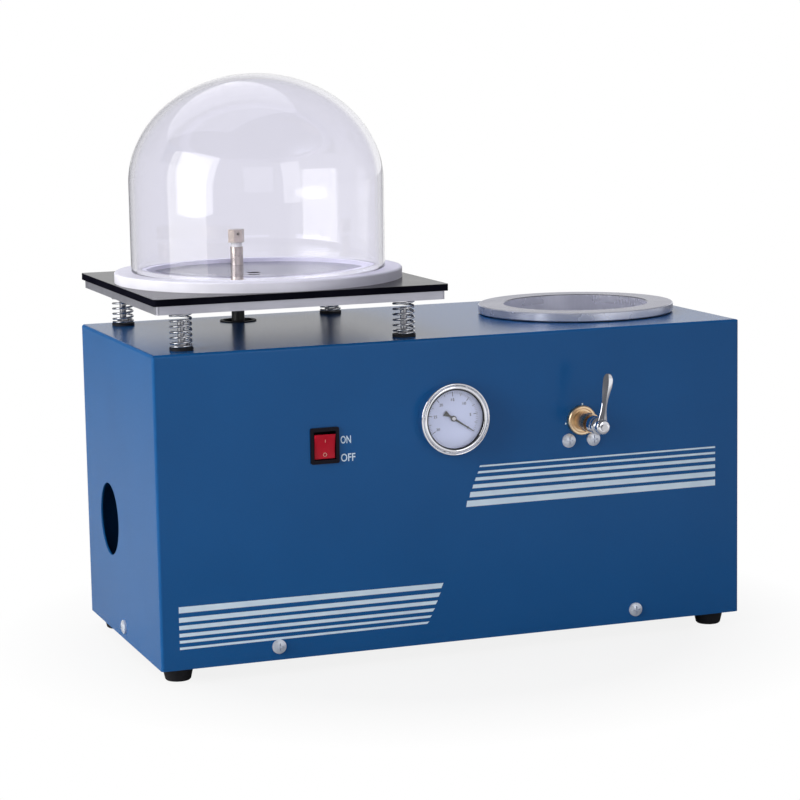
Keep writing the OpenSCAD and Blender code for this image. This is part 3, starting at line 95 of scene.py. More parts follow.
class Finish:
    """A material under way. node() makes each node, and surface() sets the shader."""

    def __init__(self, name):
        self.material = bpy.data.materials.new(name)
        self.material.use_nodes = True
        self.tree = self.material.node_tree
        self.shader = self.tree.nodes["Principled BSDF"]
        self.place = self.node("ShaderNodeTexCoord", output="Object")

    def node(self, kind, settings=None, sockets=(), output=0):
        """A new node of a kind, with its settings, then the values or links of its sockets."""
        made = self.tree.nodes.new(kind)
        for key, value in (settings or {}).items():
            if key == "stops":
                ramp = made.color_ramp.elements
                while len(ramp) < len(value):
                    ramp.new(0.5)
                for stop, (position, shade) in zip(ramp, value):
                    stop.position = position
                    stop.color = (shade, shade, shade, 1)
            else:
                setattr(made, key, value)
        named = sockets.items() if isinstance(sockets, dict) else enumerate(sockets)
        for key, value in named:
            self.feed(made.inputs[key], value)
        return Signal(self, made.outputs[output]) if made.outputs else None

    def feed(self, socket, value):
        if isinstance(value, Signal):
            self.tree.links.new(value.socket, socket)
        elif isinstance(value, (tuple, list)) and socket.type == "RGBA":
            socket.default_value = (*value[:3], 1)
        else:
            socket.default_value = value

    def noise(self, scale, detail, rough=0.5, place=None):
        return self.node("ShaderNodeTexNoise", None, {
            "Vector": place or self.place, "Scale": scale, "Detail": detail, "Roughness": rough})

    def ramp(self, value, stops):
        return self.node("ShaderNodeValToRGB", {"stops": stops}, [value])

    def blend(self, mask, low, high):
        """A colour between low and high."""
        return self.node("ShaderNodeMix", {"data_type": "RGBA"}, {0: mask, 6: low, 7: high}, 2)

    def stretched(self, scale):
        return self.node("ShaderNodeMapping", None, {"Vector": self.place, "Scale": scale})

    def vector(self, operation, *values, output="Vector"):
        return self.node("ShaderNodeVectorMath", {"operation": operation}, values, output)

    def along(self, direction):
        """How far a point lies along a direction."""
        return self.vector("DOT_PRODUCT", self.place, direction, output="Value")

    def radius(self, centre, axis=Z_AXIS):
        """The distance from a line through centre along an axis."""
        flat = [1.0, 1.0, 1.0]
        flat[axis] = 0.0
        shifted = self.vector("SUBTRACT", self.place, tuple(centre))
        across = self.vector("MULTIPLY", shifted, tuple(flat))
        return self.vector("LENGTH", across, output="Value")

    def wave(self, value, pitch):
        """A ripple of 0 to 1 each pitch along value."""
        return (value * (2 * math.pi / pitch)).maths("SINE") * 0.5 + 0.5

    def bump(self, height, depth):
        return self.node("ShaderNodeBump", None, {"Distance": depth, "Height": height})

    def surface(self, **sockets):
        for key, value in sockets.items():
            self.feed(self.shader.inputs[key.replace("_", " ")], value)
        return self.material


# A noise keeps near its middle value, so a ramp spreads it over 0 to 1
SPREAD = [(0.3, 0.0), (0.7, 1.0)]


def paint(name, dark, light, rough, peel, gloss=0.5):
    """Powder coat: an orange peel, peel mm deep, and a little cloudiness."""
    finish = Finish(name)
    cloud = finish.noise(9.0, 3.0)
    grain = finish.noise(900.0, 2.0)
    patches = finish.ramp(cloud * 0.6 + grain * 0.4, [(0.32, 0.0), (0.68, 1.0)])
    return finish.surface(
        Base_Color=finish.blend(patches, dark, light),
        Roughness=rough + grain * 0.12,
        Specular_IOR_Level=gloss,
        Normal=finish.bump(grain + finish.noise(330.0, 1.0) * 1.4, peel * MM))


def metal(name, dull, bright, rough, scratch=0.04, streak=(1, 1, 1), scale=60.0,
          wear=1.0, metallic=1.0):
    """Bare or plated metal with faint streaks and smudges, and scratches scratch mm deep."""
    finish = Finish(name)
    streaks = finish.noise(scale, 4.0, 0.6, finish.stretched(streak))
    smudge = finish.noise(28.0, 3.0)
    patches = finish.ramp(smudge * 0.5 + streaks * 0.5, [(0.35, 0.0), (0.65, 1.0)])
    return finish.surface(
        Base_Color=finish.blend(patches, dull, bright),
        Metallic=metallic,
        Roughness=rough + streaks * (0.14 * wear) + smudge * (0.06 * wear),
        Normal=finish.bump(streaks, scratch * MM))


def moulded(name, dark, light, rough, grain=0.02, scale=700.0, **more):
    """Moulded plastic or rubber with a fine grain."""
    finish = Finish(name)
    fine = finish.noise(scale, 2.0)
    cloud = finish.noise(35.0, 3.0)
    return finish.surface(
        Base_Color=finish.blend(finish.ramp(cloud, SPREAD), dark, light),
        Roughness=rough + fine * 0.1 + cloud * 0.08,
        Normal=finish.bump(fine, grain * MM), **more)


def sheet_rubber(name, dark, light, top, gloss=0.62):
    """Sheet rubber, dull at its cut edges and glossy on its upper face, which lies above top."""
    finish = Finish(name)
    fine = finish.noise(260.0, 2.0)
    cloud = finish.noise(35.0, 3.0)
    face = finish.along((0, 0, 1)).above(top)
    return finish.surface(
        Base_Color=finish.blend(finish.ramp(cloud, SPREAD), dark, light),
        Roughness=0.6 + fine * 0.1, Specular_IOR_Level=0.0,
        Coat_Weight=face * (gloss + cloud * 0.1), Coat_Roughness=0.16,
        Normal=finish.bump(fine, 0.015 * MM))


# The bore and the rim are made less metallic, so that the lamps light them diffusely, and are
# painted lighter: painted light
LAMPLIT_METALLIC = 0.6


def turned_metal(name, centre, axis, dull, bright, rough, pitch, depth, bore=None, rim=None):
    """Metal with turning marks round an axis, pitch mm apart and depth mm deep.

    Inside a bore and outside a rim, each (radius, dull, bright), it has those shades instead,
    painted lighter and made less metallic: painted light."""
    finish = Finish(name)
    out = finish.radius(centre, axis)
    marks = finish.wave(out, pitch * MM)
    uneven = finish.noise(40.0, 3.0)
    patches = finish.ramp(marks * 0.35 + uneven * 0.65, SPREAD)
    colour, metallic = finish.blend(patches, dull, bright), 1.0
    # The bore and the rim take lighter shades and less metal: painted light
    if bore:
        outside = out.above(bore[0] * MM)
        colour = finish.blend(outside, finish.blend(patches, *bore[1:]), colour)
        metallic = LAMPLIT_METALLIC + outside * (1.0 - LAMPLIT_METALLIC)
    if rim:
        edge = out.above(rim[0] * MM)
        colour = finish.blend(edge, colour, finish.blend(patches, *rim[1:]))
        metallic = metallic - edge * (1.0 - LAMPLIT_METALLIC)
    return finish.surface(
        Base_Color=colour, Metallic=metallic,
        Roughness=rough + uneven * 0.12 + marks * 0.05,
        Normal=finish.bump(marks + uneven, depth * MM))


def clear(name, tint, rough, ior, haze):
    """Clear glass or plastic. Shadows are only as deep as its tint."""
    finish = Finish(name)
    smear = finish.noise(14.0, 3.0)
    finish.surface(
        Base_Color=finish.blend(smear, [c * 0.985 for c in tint], tint),
        Roughness=rough + finish.ramp(smear, [(0.5, 0.0), (0.8, 1.0)]) * haze,
        Transmission_Weight=1.0, IOR=ior)
    shadow = finish.node("ShaderNodeLightPath", output="Is Shadow Ray")
    through = finish.node("ShaderNodeBsdfTransparent", None, {"Color": (*tint, 1)})
    mixed = finish.node("ShaderNodeMixShader", None,
                        [shadow, Signal(finish, finish.shader.outputs[0]), through])
    finish.tree.links.new(mixed.socket, finish.tree.nodes["Material Output"].inputs["Surface"])
    return finish.material


# In cabinet mm
TABLE_X, CHAMBER_X, MIDDLE_Y, MAT_TOP = 134.0, 444.5, 127.5, 319.5
# In the frame
TABLE_MIDDLE, CHAMBER_MIDDLE = at(TABLE_X, MIDDLE_Y, 0), at(CHAMBER_X, MIDDLE_Y, 0)
MOTOR_MIDDLE = at(193, 128, 83.5)
# Radii of the chamber's bore, of where its ring's rim starts, and one that its whole cup is in
BORE_R, RIM_R, CUP_REACH = 67.5, 90.6, 80.0
# The dull and the bright shade of turned steel in the bore and on the rim, painted lighter than the
# rest of it: painted light
LIT_BORE_DULL, LIT_BORE_BRIGHT = (0.70, 0.71, 0.80), (0.86, 0.87, 0.97)
LIT_RIM_DULL, LIT_RIM_BRIGHT = (0.66, 0.68, 0.78), (0.84, 0.85, 0.96)

blue_paint = paint("blue_paint", (0.006, 0.083, 0.264), (0.008, 0.096, 0.300), 0.18, 0.02, 0.2)
dark_paint = paint("dark_paint", (0.030, 0.031, 0.034), (0.042, 0.043, 0.047), 0.42, 0.05)
motor_paint = paint("motor_paint", (0.10, 0.13, 0.16), (0.13, 0.16, 0.20), 0.38, 0.06)

black_rubber = moulded("black_rubber", (0.006, 0.006, 0.009), (0.012, 0.012, 0.016), 0.5,
                       Specular_IOR_Level=0.3)
hose_rubber = moulded("hose_rubber", (0.014, 0.014, 0.016), (0.026, 0.026, 0.029), 0.36, 0.03)
black_gloss_mat = sheet_rubber("black_gloss_mat", (0.003, 0.003, 0.006), (0.006, 0.006, 0.011),
                               at(0, 0, MAT_TOP - 0.3).z)
pale_silicone = moulded("pale_silicone", (0.68, 0.67, 0.78), (0.75, 0.74, 0.86), 0.34, 0.03, 420.0)
white_tape = moulded("white_tape", (0.78, 0.78, 0.76), (0.88, 0.88, 0.86), 0.6, 0.15, 500.0)
lead_grey = moulded("lead_grey", (0.13, 0.13, 0.14), (0.18, 0.18, 0.19), 0.45)
inlet_black = moulded("inlet_black", (0.010, 0.010, 0.012), (0.020, 0.020, 0.022), 0.36, 0.03)
fan_plastic = moulded("fan_plastic", (0.70, 0.70, 0.68), (0.78, 0.78, 0.76), 0.45)
# Almost black and almost without shine, for the dark spot in the table's floor
matte_black = moulded("matte_black", (0.002, 0.002, 0.003), (0.005, 0.005, 0.006), 0.7, 0.03,
                      Specular_IOR_Level=0.02)
switch_black = moulded("switch_black", (0.003, 0.002, 0.006), (0.006, 0.004, 0.010), 0.24, 0.02,
                       Specular_IOR_Level=0.12)
switch_red = moulded("switch_red", (0.46, 0.005, 0.020), (0.60, 0.009, 0.032), 0.14, 0.01,
                     Specular_IOR_Level=0.18)
rocker_print = moulded("rocker_print", (0.68, 0.30, 0.26), (0.80, 0.42, 0.36), 0.3, 0.005)
print_white = moulded("print_white", (0.64, 0.78, 0.92), (0.72, 0.86, 0.98), 0.42, 0.01, 900.0)
dial_white = moulded("dial_white", (0.49, 0.54, 0.75), (0.53, 0.58, 0.80), 0.4, 0.004)
dial_ink = moulded("dial_ink", (0.020, 0.020, 0.030), (0.035, 0.035, 0.045), 0.5, 0.004)
pointer_black = moulded("pointer_black", (0.010, 0.010, 0.012), (0.018, 0.018, 0.020), 0.4, 0.01)

zinc_steel = metal("zinc_steel", (0.50, 0.50, 0.53), (0.66, 0.66, 0.69), 0.24)
spring_steel = metal("spring_steel", (0.58, 0.58, 0.60), (0.78, 0.78, 0.80), 0.14)
chrome = metal("chrome", (0.74, 0.75, 0.80), (0.88, 0.89, 0.94), 0.03, 0.004, wear=0.3)
table_aluminium = metal("table_aluminium", (0.37, 0.37, 0.43), (0.48, 0.48, 0.55), 0.32, 0.05,
                        (0.15, 1, 1), 160.0, metallic=0.75)
bright_zinc = metal("bright_zinc", (0.62, 0.66, 0.76), (0.80, 0.84, 0.94), 0.26, 0.02, metallic=0.6)
brass = metal("brass", (0.68, 0.48, 0.30), (0.90, 0.71, 0.49), 0.18, 0.02)
worn_nickel = metal("worn_nickel", (0.38, 0.33, 0.29), (0.54, 0.48, 0.43), 0.16, 0.02)
cast_grey = metal("cast_grey", (0.20, 0.21, 0.22), (0.30, 0.31, 0.32), 0.48, 0.25, scale=380.0)
cast_aluminium = metal("cast_aluminium", (0.44, 0.45, 0.46), (0.58, 0.59, 0.60), 0.42, 0.2,
                       scale=420.0)

polished_aluminium = turned_metal("polished_aluminium", TABLE_MIDDLE, Z_AXIS,
                                  (0.150, 0.155, 0.200), (0.25, 0.26, 0.32), 0.12, 1.1, 0.005)
# The ring's bore and rim are painted lighter: painted light
turned_steel = turned_metal("turned_steel", CHAMBER_MIDDLE, Z_AXIS, (0.26, 0.265, 0.35),
                            (0.34, 0.345, 0.44), 0.20, 0.9, 0.02,
                            bore=(BORE_R + 0.2, LIT_BORE_DULL, LIT_BORE_BRIGHT),
                            rim=(RIM_R, LIT_RIM_DULL, LIT_RIM_BRIGHT))
# The whole cup is painted in the lighter bore shades: painted light
bored_steel = turned_metal("bored_steel", CHAMBER_MIDDLE, Z_AXIS, LIT_BORE_DULL, LIT_BORE_BRIGHT,
                           0.24, 0.9, 0.02, bore=(CUP_REACH, LIT_BORE_DULL, LIT_BORE_BRIGHT))
copper_winding = turned_metal("copper_winding", MOTOR_MIDDLE, X_AXIS, (0.46, 0.20, 0.09),
                              (0.66, 0.34, 0.17), 0.3, 1.4, 0.3)

clear_jar = clear("clear_jar", (0.872, 0.866, 0.925), 0.0, 1.44, 0.02)
clear_lens = clear("clear_lens", (0.985, 0.985, 0.995), 0.0, 1.5, 0.0)
oil_glass = clear("oil_glass", (0.72, 0.55, 0.16), 0.02, 1.47, 0.05)

NODE_FINISH = {
    blue_paint: ["cabinet_shell", "rear_panel"],
    dark_paint: ["base_pan", "pump_plate", "gauge_case"],
    matte_black: ["floor_screw"],
    black_rubber: ["feet", "spring_washers", "hose_grommet", "ring_gasket", "pump_mounts"],
    zinc_steel: ["foot_screws", "rear_panel_screws", "guide_bolts", "clamp_nut", "gauge_clamp",
                 "lever_screw", "valve_bracket", "pump_rotor", "motor_shaft"],
    chrome: ["gauge_bezel", "valve_plug", "valve_lever"],
    bright_zinc: ["cabinet_screws", "valve_screws"],
    table_aluminium: ["table_plate"],
    black_gloss_mat: ["table_mat"],
    pale_silicone: ["sealing_pad"],
    polished_aluminium: ["table_floor"],
    turned_steel: ["chamber_ring"],
    bored_steel: ["chamber_cup"],
    worn_nickel: ["standpipe", "standpipe_head"],
    brass: ["standpipe_nut", "chamber_port", "valve_body", "valve_collar", "hose_elbow",
            "exhaust_silencer"],
    white_tape: ["thread_tape"],
    dial_white: ["gauge_dial"],
    pointer_black: ["gauge_pointer"],
    switch_black: ["switch_body"],
    switch_red: ["switch_rocker"],
    clear_jar: ["bell_jar"],
    clear_lens: ["gauge_lens"],
    oil_glass: ["sight_glass"],
    cast_aluminium: ["oil_case"],
    cast_grey: ["pump_head"],
    motor_paint: ["motor_housing"],
    copper_winding: ["motor_stator"],
    fan_plastic: ["cooling_fan"],
    inlet_black: ["mains_inlet"],
    spring_steel: ["spring_front_left", "spring_front_right", "spring_rear_left",
                   "spring_rear_right"],
    hose_rubber: ["table_hose", "vacuum_hoses"],
    lead_grey: ["wiring"],
}
for material, names in NODE_FINISH.items():
    for name in names:
        for holder in NODES[name].material_slots:
            holder.material = material


# ---------------------------------------------------------------- making shapes

# Turns of a piece made upright so that its upper end faces the machine's front or its back
FACING_FRONT, FACING_BACK = (math.pi / 2, 0, 0), (-math.pi / 2, 0, 0)


def put_down():
    """Out of edit mode, with nothing selected."""
    if bpy.context.object and bpy.context.object.mode != "OBJECT":
        bpy.ops.object.mode_set(mode="OBJECT")
    bpy.ops.object.select_all(action="DESELECT")


def take(piece):
    """Selects a piece alone and makes it the active one."""
    put_down()
    piece.select_set(True)
    bpy.context.view_layer.objects.active = piece
    return piece


def settle(piece):
    """Puts the piece's place into its mesh."""
    take(piece)
    bpy.ops.object.transform_apply(location=True, rotation=True, scale=True)
    return piece


def modify(piece, kind, **settings):
    """Gives a piece a modifier and applies it."""
    take(piece)
    modifier = piece.modifiers.new(kind.lower(), kind)
    for key, value in settings.items():
        setattr(modifier, key, value)
    bpy.ops.object.modifier_apply(modifier=modifier.name)
    return piece


def smooth(piece, angle):
    """Smooth shading, but for edges that turn more than angle in degrees."""
    take(piece)
    bpy.ops.object.shade_smooth_by_angle(angle=math.radians(angle))
    return piece


def finished(piece, name, body, material, replaces=()):
    """Names and paints a piece and makes it ride on its body."""
    piece.name = piece.data.name = name
    piece.data.materials.clear()
    piece.data.materials.append(material)
    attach(piece, body)
    if replaces:
        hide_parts(*replaces)


def turned(profile, place, turn=(0, 0, 0), sides=96, ends="filled", angle=35):
    """A turned piece from (radius, height) rings in mm. Its ends are filled, joined or open."""
    put_down()
    start_r, start_h = profile[0]
    bpy.ops.mesh.primitive_circle_add(vertices=sides, radius=start_r * MM,
                                      location=(0, 0, start_h * MM))
    piece = settle(bpy.context.object)
    bpy.ops.object.mode_set(mode="EDIT")
    bpy.ops.mesh.select_all(action="SELECT")
    for (r0, h0), (r1, h1) in zip(profile, profile[1:]):
        bpy.ops.mesh.extrude_edges_move(TRANSFORM_OT_translate={"value": (0, 0, (h1 - h0) * MM)})
        bpy.ops.transform.resize(value=(r1 / r0, r1 / r0, 1), center_override=(0, 0, h1 * MM))
    bpy.ops.mesh.select_all(action="SELECT")
    bpy.ops.mesh.remove_doubles(threshold=1e-6)
    if ends == "joined":
        bpy.ops.mesh.select_all(action="DESELECT")
        bpy.ops.mesh.select_mode(type="EDGE")
        bpy.ops.mesh.select_non_manifold()
        bpy.ops.mesh.bridge_edge_loops()
    if ends == "filled":
        bpy.ops.mesh.fill_holes(sides=0)
    bpy.ops.mesh.select_all(action="SELECT")
    bpy.ops.mesh.normals_make_consistent(inside=False)
    bpy.ops.object.mode_set(mode="OBJECT")
    piece.rotation_euler = turn
    piece.location = place
    settle(piece)
    return smooth(piece, angle)


def joined(pieces):
    """The first piece, with the others made part of it."""
    put_down()
    for piece in pieces:
        piece.select_set(True)
    bpy.context.view_layer.objects.active = pieces[0]
    bpy.ops.object.join()
    return pieces[0]


def wire(points, radius, roundness=3, closed_ends=True):
    """A round wire, lead or hose along points in the frame."""
    put_down()
    bpy.ops.curve.primitive_nurbs_path_add()
    piece = bpy.context.object
    curve = piece.data
    curve.splines.clear()
    spline = curve.splines.new("POLY")
    spline.points.add(len(points) - 1)
    for point, place in zip(spline.points, points):
        point.co = (*place, 1)
    curve.bevel_depth = radius * MM
    curve.bevel_resolution = roundness
    curve.use_fill_caps = closed_ends
    take(piece)
    bpy.ops.object.convert(target="MESH")
    piece = bpy.context.object
    bpy.ops.object.mode_set(mode="EDIT")
    bpy.ops.mesh.select_all(action="SELECT")
    bpy.ops.mesh.remove_doubles(threshold=1e-6)
    bpy.ops.object.mode_set(mode="OBJECT")
    return smooth(piece, 50)


def rounded(corners, reach, steps=8):
    """Points in the frame of a route through corners, in cabinet mm, with a curve at each bend."""
    corners = [Vector(c) for c in corners]
    points = [corners[0]]
    for before, here, after in zip(corners, corners[1:], corners[2:]):
        cut = min(reach, (before - here).length * 0.45, (after - here).length * 0.45)
        start = here + (before - here).normalized() * cut
        end = here + (after - here).normalized() * cut
        for i in range(steps + 1):
            t = i / steps
            points.append(start * (1 - t) ** 2 + here * 2 * t * (1 - t) + end * t * t)
    points.append(corners[-1])
    return [at(*p) for p in points]


def film(corners, thick=0.06):
    """A thin printed shape on the front, from its (x, z) corners in cabinet mm."""
    put_down()
    bpy.ops.mesh.primitive_plane_add(size=1)
    piece = bpy.context.object
    for vertex, (x, z) in zip(piece.data.vertices, corners):
        vertex.co = at(x, 0, z)
    settle(piece)
    bpy.ops.object.mode_set(mode="EDIT")
    bpy.ops.mesh.select_all(action="SELECT")
    bpy.ops.mesh.extrude_region_move(TRANSFORM_OT_translate={"value": (0, -thick * MM, 0)})
    bpy.ops.mesh.select_all(action="SELECT")
    bpy.ops.mesh.normals_make_consistent(inside=False)
    bpy.ops.object.mode_set(mode="OBJECT")
    return piece


def lettering(words, x0, x1, z0, z1, y=0.0, bold=0.0, thick=0.05):
    """Flat letters facing the front that fill a box from (x0, z0) to (x1, z1), in cabinet mm."""
    put_down()
    bpy.ops.object.text_add(location=(0, 0, 0))
    piece = bpy.context.object
    piece.data.body = words
    piece.data.size = 10 * MM
    piece.data.offset = bold * MM
    piece.data.extrude = thick * MM
    piece.data.resolution_u = 3
    take(piece)
    bpy.ops.object.convert(target="MESH")
    piece = bpy.context.object
    low = [min(v.co[i] for v in piece.data.vertices) for i in (0, 1)]
    high = [max(v.co[i] for v in piece.data.vertices) for i in (0, 1)]
    wide = (x1 - x0) * MM / (high[0] - low[0])
    tall = (z1 - z0) * MM / (high[1] - low[1])
    piece.scale = (wide, tall, 1)
    piece.rotation_euler = FACING_FRONT
    piece.location = at(x0, y, z0) - Vector((low[0] * wide, 0, low[1] * tall))
    return settle(piece)


def disc_mark(x, z, radius, thick=0.06):
    """A round flat mark on the front."""
    return turned([(radius, 0), (radius, thick)], at(x, 0, z), FACING_FRONT, 24)


# In front of an arm, a power of 1 gives two flat facets, and less rounds them. The edges that
# turn more than the angle stay crisp
RIDGE_POWER, RIDGE_ANGLE = 0.85, 32


def drawn_out(sections, place, sides=32):
    """An arm drawn through (x, z, width, thickness) sections in mm.

    It's round behind and has a ridge in front."""
    put_down()
    x0, z0, w0, t0 = sections[0]
    bpy.ops.mesh.primitive_circle_add(vertices=sides, radius=0.5, location=(0, 0, 0))
    piece = bpy.context.object
    for vertex in piece.data.vertices:
        if vertex.co.y < 0:
            vertex.co.y = -0.5 * (1 - abs(2 * vertex.co.x)) ** RIDGE_POWER
    piece.scale = (w0 * MM, t0 * MM, 1)
    piece.location = (x0 * MM, 0, z0 * MM)
    settle(piece)
    bpy.ops.object.mode_set(mode="EDIT")
    bpy.ops.mesh.select_all(action="SELECT")
    for (xa, za, wa, ta), (xb, zb, wb, tb) in zip(sections, sections[1:]):
        step = ((xb - xa) * MM, 0, (zb - za) * MM)
        bpy.ops.mesh.extrude_edges_move(TRANSFORM_OT_translate={"value": step})
        bpy.ops.transform.resize(value=(wb / wa, tb / ta, 1),
                                 center_override=(xb * MM, 0, zb * MM))
    bpy.ops.mesh.select_all(action="SELECT")
    bpy.ops.mesh.fill_holes(sides=0)
    bpy.ops.mesh.select_all(action="SELECT")
    bpy.ops.mesh.normals_make_consistent(inside=False)
    bpy.ops.object.mode_set(mode="OBJECT")
    piece.location = place
    settle(piece)
    return smooth(piece, RIDGE_ANGLE)


# ---------------------------------------------------------------- bell jar

# The jar stands on its pad. Its wall is straight, and its dome half an ellipse
JAR_R, JAR_T, JAR_STRAIGHT, JAR_DOME, PAD_TOP = 113.75, 5.0, 78.0, 96.0, 328.5
jar_outline = [(JAR_R, z) for z in (0, 6, 30, 60, JAR_STRAIGHT)]
for a in range(3, 90, 3):
    jar_outline.append((JAR_R * math.cos(math.radians(a)),
                        JAR_STRAIGHT + JAR_DOME * math.sin(math.radians(a))))
jar_outline.append((0.0, JAR_STRAIGHT + JAR_DOME))
jar = turned(jar_outline, at(TABLE_X, MIDDLE_Y, PAD_TOP), sides=128, ends="open", angle=60)
modify(jar, "SOLIDIFY", thickness=JAR_T * MM, offset=-1, use_even_offset=True)
modify(jar, "BEVEL", width=1.2 * MM, segments=3, limit_method="ANGLE",
       angle_limit=math.radians(60))
smooth(jar, 60)
finished(jar, "bell_jar_glass", "jar", clear_jar, ["bell_jar"])

# ---------------------------------------------------------------- springs

SPRING_FOOT, SPRING_H, SPRING_R, WIRE_R = 274.5, 31.5, 9.0, 1.0
# How far each spring stands out from the table's middle, both ways
SPRING_OUT = 101
END_TURNS, WORKING_TURNS, POINTS_PER_TURN = 0.8, 5.4, 24
ALL_TURNS = 2 * END_TURNS + WORKING_TURNS
# How much an end turn rises: a little less than the wire's thickness, so that it lies closed
END_RISE = WIRE_R * 1.9


def spring_height(turn):
    """Height of the wire's middle after so many turns: the first and last turns lie flat."""
    low, high = WIRE_R, SPRING_H - WIRE_R
    if turn < END_TURNS:
        return low + END_RISE * turn / END_TURNS
    if turn > ALL_TURNS - END_TURNS:
        return high - END_RISE * (ALL_TURNS - turn) / END_TURNS
    return low + END_RISE + (high - low - 2 * END_RISE) * (turn - END_TURNS) / WORKING_TURNS


# Each spring's node, its side of the table, and the angle at which its wire starts
SPRINGS = [("spring_front_left", -1, -1, 200), ("spring_rear_left", -1, 1, 170),
           ("spring_front_right", 1, -1, 240), ("spring_rear_right", 1, 1, 150)]
for name, side_x, side_y, start in SPRINGS:
    middle_x, middle_y = TABLE_X + side_x * SPRING_OUT, MIDDLE_Y + side_y * SPRING_OUT
    path = []
    for i in range(int(ALL_TURNS * POINTS_PER_TURN) + 1):
        turn = i / POINTS_PER_TURN
        angle = math.radians(start + turn * 360)
        path.append(at(middle_x + SPRING_R * math.cos(angle), middle_y + SPRING_R * math.sin(angle),
                       SPRING_FOOT + spring_height(turn)))
    spring = wire(path, WIRE_R)
    finished(spring, "round_" + name, "cabinet", spring_steel, [name])
    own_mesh(spring)

# ---------------------------------------------------------------- hoses and leads

PIPE_X, PIPE_Y = 138.5, 211.5
HOSE_LOW, HOSE_HIGH = 206.0, 298.7
HOSE_R, HOSE_WALL, HOSE_REACH = 6, 2, 26
HOSE_H = HOSE_HIGH - HOSE_LOW
table_hose = turned([(HOSE_R, 0), (HOSE_R, HOSE_H), (HOSE_R - HOSE_WALL, HOSE_H),
                     (HOSE_R - HOSE_WALL, 0)],
                    at(PIPE_X, PIPE_Y, HOSE_LOW), sides=48, ends="joined")
finished(table_hose, "rubber_table_hose", "cabinet", hose_rubber, ["table_hose"])
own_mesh(table_hose)

# The routes' corners: table to valve, pump to valve, valve to chamber, gauge to valve, and
# pump to silencer
HOSE_ROUTES = [
    [(146.5, 211.5, 194), (258.5, 211.5, 194), (322, 40.5, 194), (347, 20.5, 190.5),
     (374, 20.5, 190.5)],
    [(93.36, 128, 152.5), (93.36, 128, 183.5), (153.36, 118, 193.5), (332, 50.5, 150.5),
     (392, 20.5, 138.5), (392, 20.5, 172.5)],
    [(410, 20.5, 190.5), (443, 20.5, 190.5), (450, 20.5, 140), (432, 26.5, 96),
     (378.5, 67.5, 96), (378.5, 127.5, 96), (435.5, 127.5, 96)],
    [(268, 45, 201), (268, 70, 201), (318, 78, 209), (392, 64.5, 196.5), (392, 61.5, 190.5),
     (392, 40.5, 190.5)],
    [(56.4, 128, 152.5), (56.4, 128, 185.5), (84, 178, 190), (84, 215, 190), (84, 238, 190)],
]
LEAD_R, LEAD_REACH = 3.0, 14
# Switch to motor, and switch to mains inlet
LEAD_ROUTES = [
    [(150.5, 33.5, 179), (150.5, 50, 179), (200.5, 55, 147.5), (219, 64.5, 154.5),
     (219, 110.5, 154.5)],
    [(150.5, 33.5, 191), (150.5, 52, 191), (112.5, 50, 170), (106.5, 36, 40), (330.5, 36, 40),
     (345.5, 60, 40), (345.5, 190, 40), (414, 203.5, 45), (454, 209.5, 45), (454, 223.5, 45)],
]
inner_hoses = []
for corners in HOSE_ROUTES:
    inner_hose = wire(rounded(corners, HOSE_REACH), HOSE_R, 6, closed_ends=False)
    inner_hoses.append(modify(inner_hose, "SOLIDIFY", thickness=HOSE_WALL * MM, offset=-1))
finished(joined(inner_hoses), "rubber_vacuum_hoses", "cabinet", hose_rubber,
         ["vacuum_hoses"])
leads = [wire(rounded(corners, LEAD_REACH), LEAD_R, 4) for corners in LEAD_ROUTES]
finished(joined(leads), "sheathed_leads", "cabinet", lead_grey, ["wiring"])

# ---------------------------------------------------------------- valve lever

VALVE_X, VALVE_Z = 392.0, 190.5
# The hub's front face, its depth and radius, the hole for the stem, and the boss behind the hub
HUB_FRONT, HUB_T, HUB_R, HOLE_R, BOSS_R, BOSS_LEN = -50.0, 8.0, 6.5, 4.1, 7.75, 14.0
HUB_PROFILE = [(3.0, 0), (4.6, 0.15), (5.7, 0.7), (HUB_R, 1.9), (HUB_R, HUB_T - 1.6),
               (HUB_R - 0.7, HUB_T - 0.5), (HUB_R - 1.6, HUB_T), (HOLE_R, HUB_T),
               (HOLE_R, HUB_T - 4)]
ARM_SECTIONS = [(0.2, 2.0, 8.0, 3.0), (0.3, 3.5, 9.4, 5.2), (0.9, 8.0, 7.6, 5.4),
                (1.5, 13.0, 6.0, 5.0), (2.4, 19.0, 5.4, 4.6), (3.2, 24.5, 6.1, 4.5),
                (4.1, 29.5, 7.5, 4.4), (5.0, 34.0, 9.0, 4.4), (5.6, 38.0, 9.6, 4.3),
                (5.8, 41.2, 9.4, 4.1), (5.8, 43.8, 8.2, 3.7), (5.8, 45.6, 6.2, 3.1),
                (5.7, 46.5, 4.2, 2.4), (5.7, 46.9, 2.4, 1.4)]
BOSS_PROFILE = [(HOLE_R, 0), (5.6, 0), (6.0, 0.9), (BOSS_R - 0.9, 1.4), (BOSS_R, 2.2),
                (BOSS_R, 5.6), (BOSS_R - 0.5, 6.0), (BOSS_R - 0.5, 6.8), (BOSS_R, 7.2),
                (BOSS_R, BOSS_LEN - 0.8), (BOSS_R - 0.8, BOSS_LEN), (HOLE_R, BOSS_LEN)]
hub = turned(HUB_PROFILE, at(VALVE_X, HUB_FRONT, VALVE_Z), FACING_BACK, 64)
arm = drawn_out(ARM_SECTIONS, at(VALVE_X, HUB_FRONT + HUB_T / 2, VALVE_Z))
boss = turned(BOSS_PROFILE, at(VALVE_X, HUB_FRONT + HUB_T, VALVE_Z), FACING_BACK, 64, "joined")
finished(joined([hub, arm, boss]), "cast_lever", "lever", chrome, ["valve_lever"])

# ---------------------------------------------------------------- switch rocker

SWITCH_X, SWITCH_Z = 150.5, 185.0
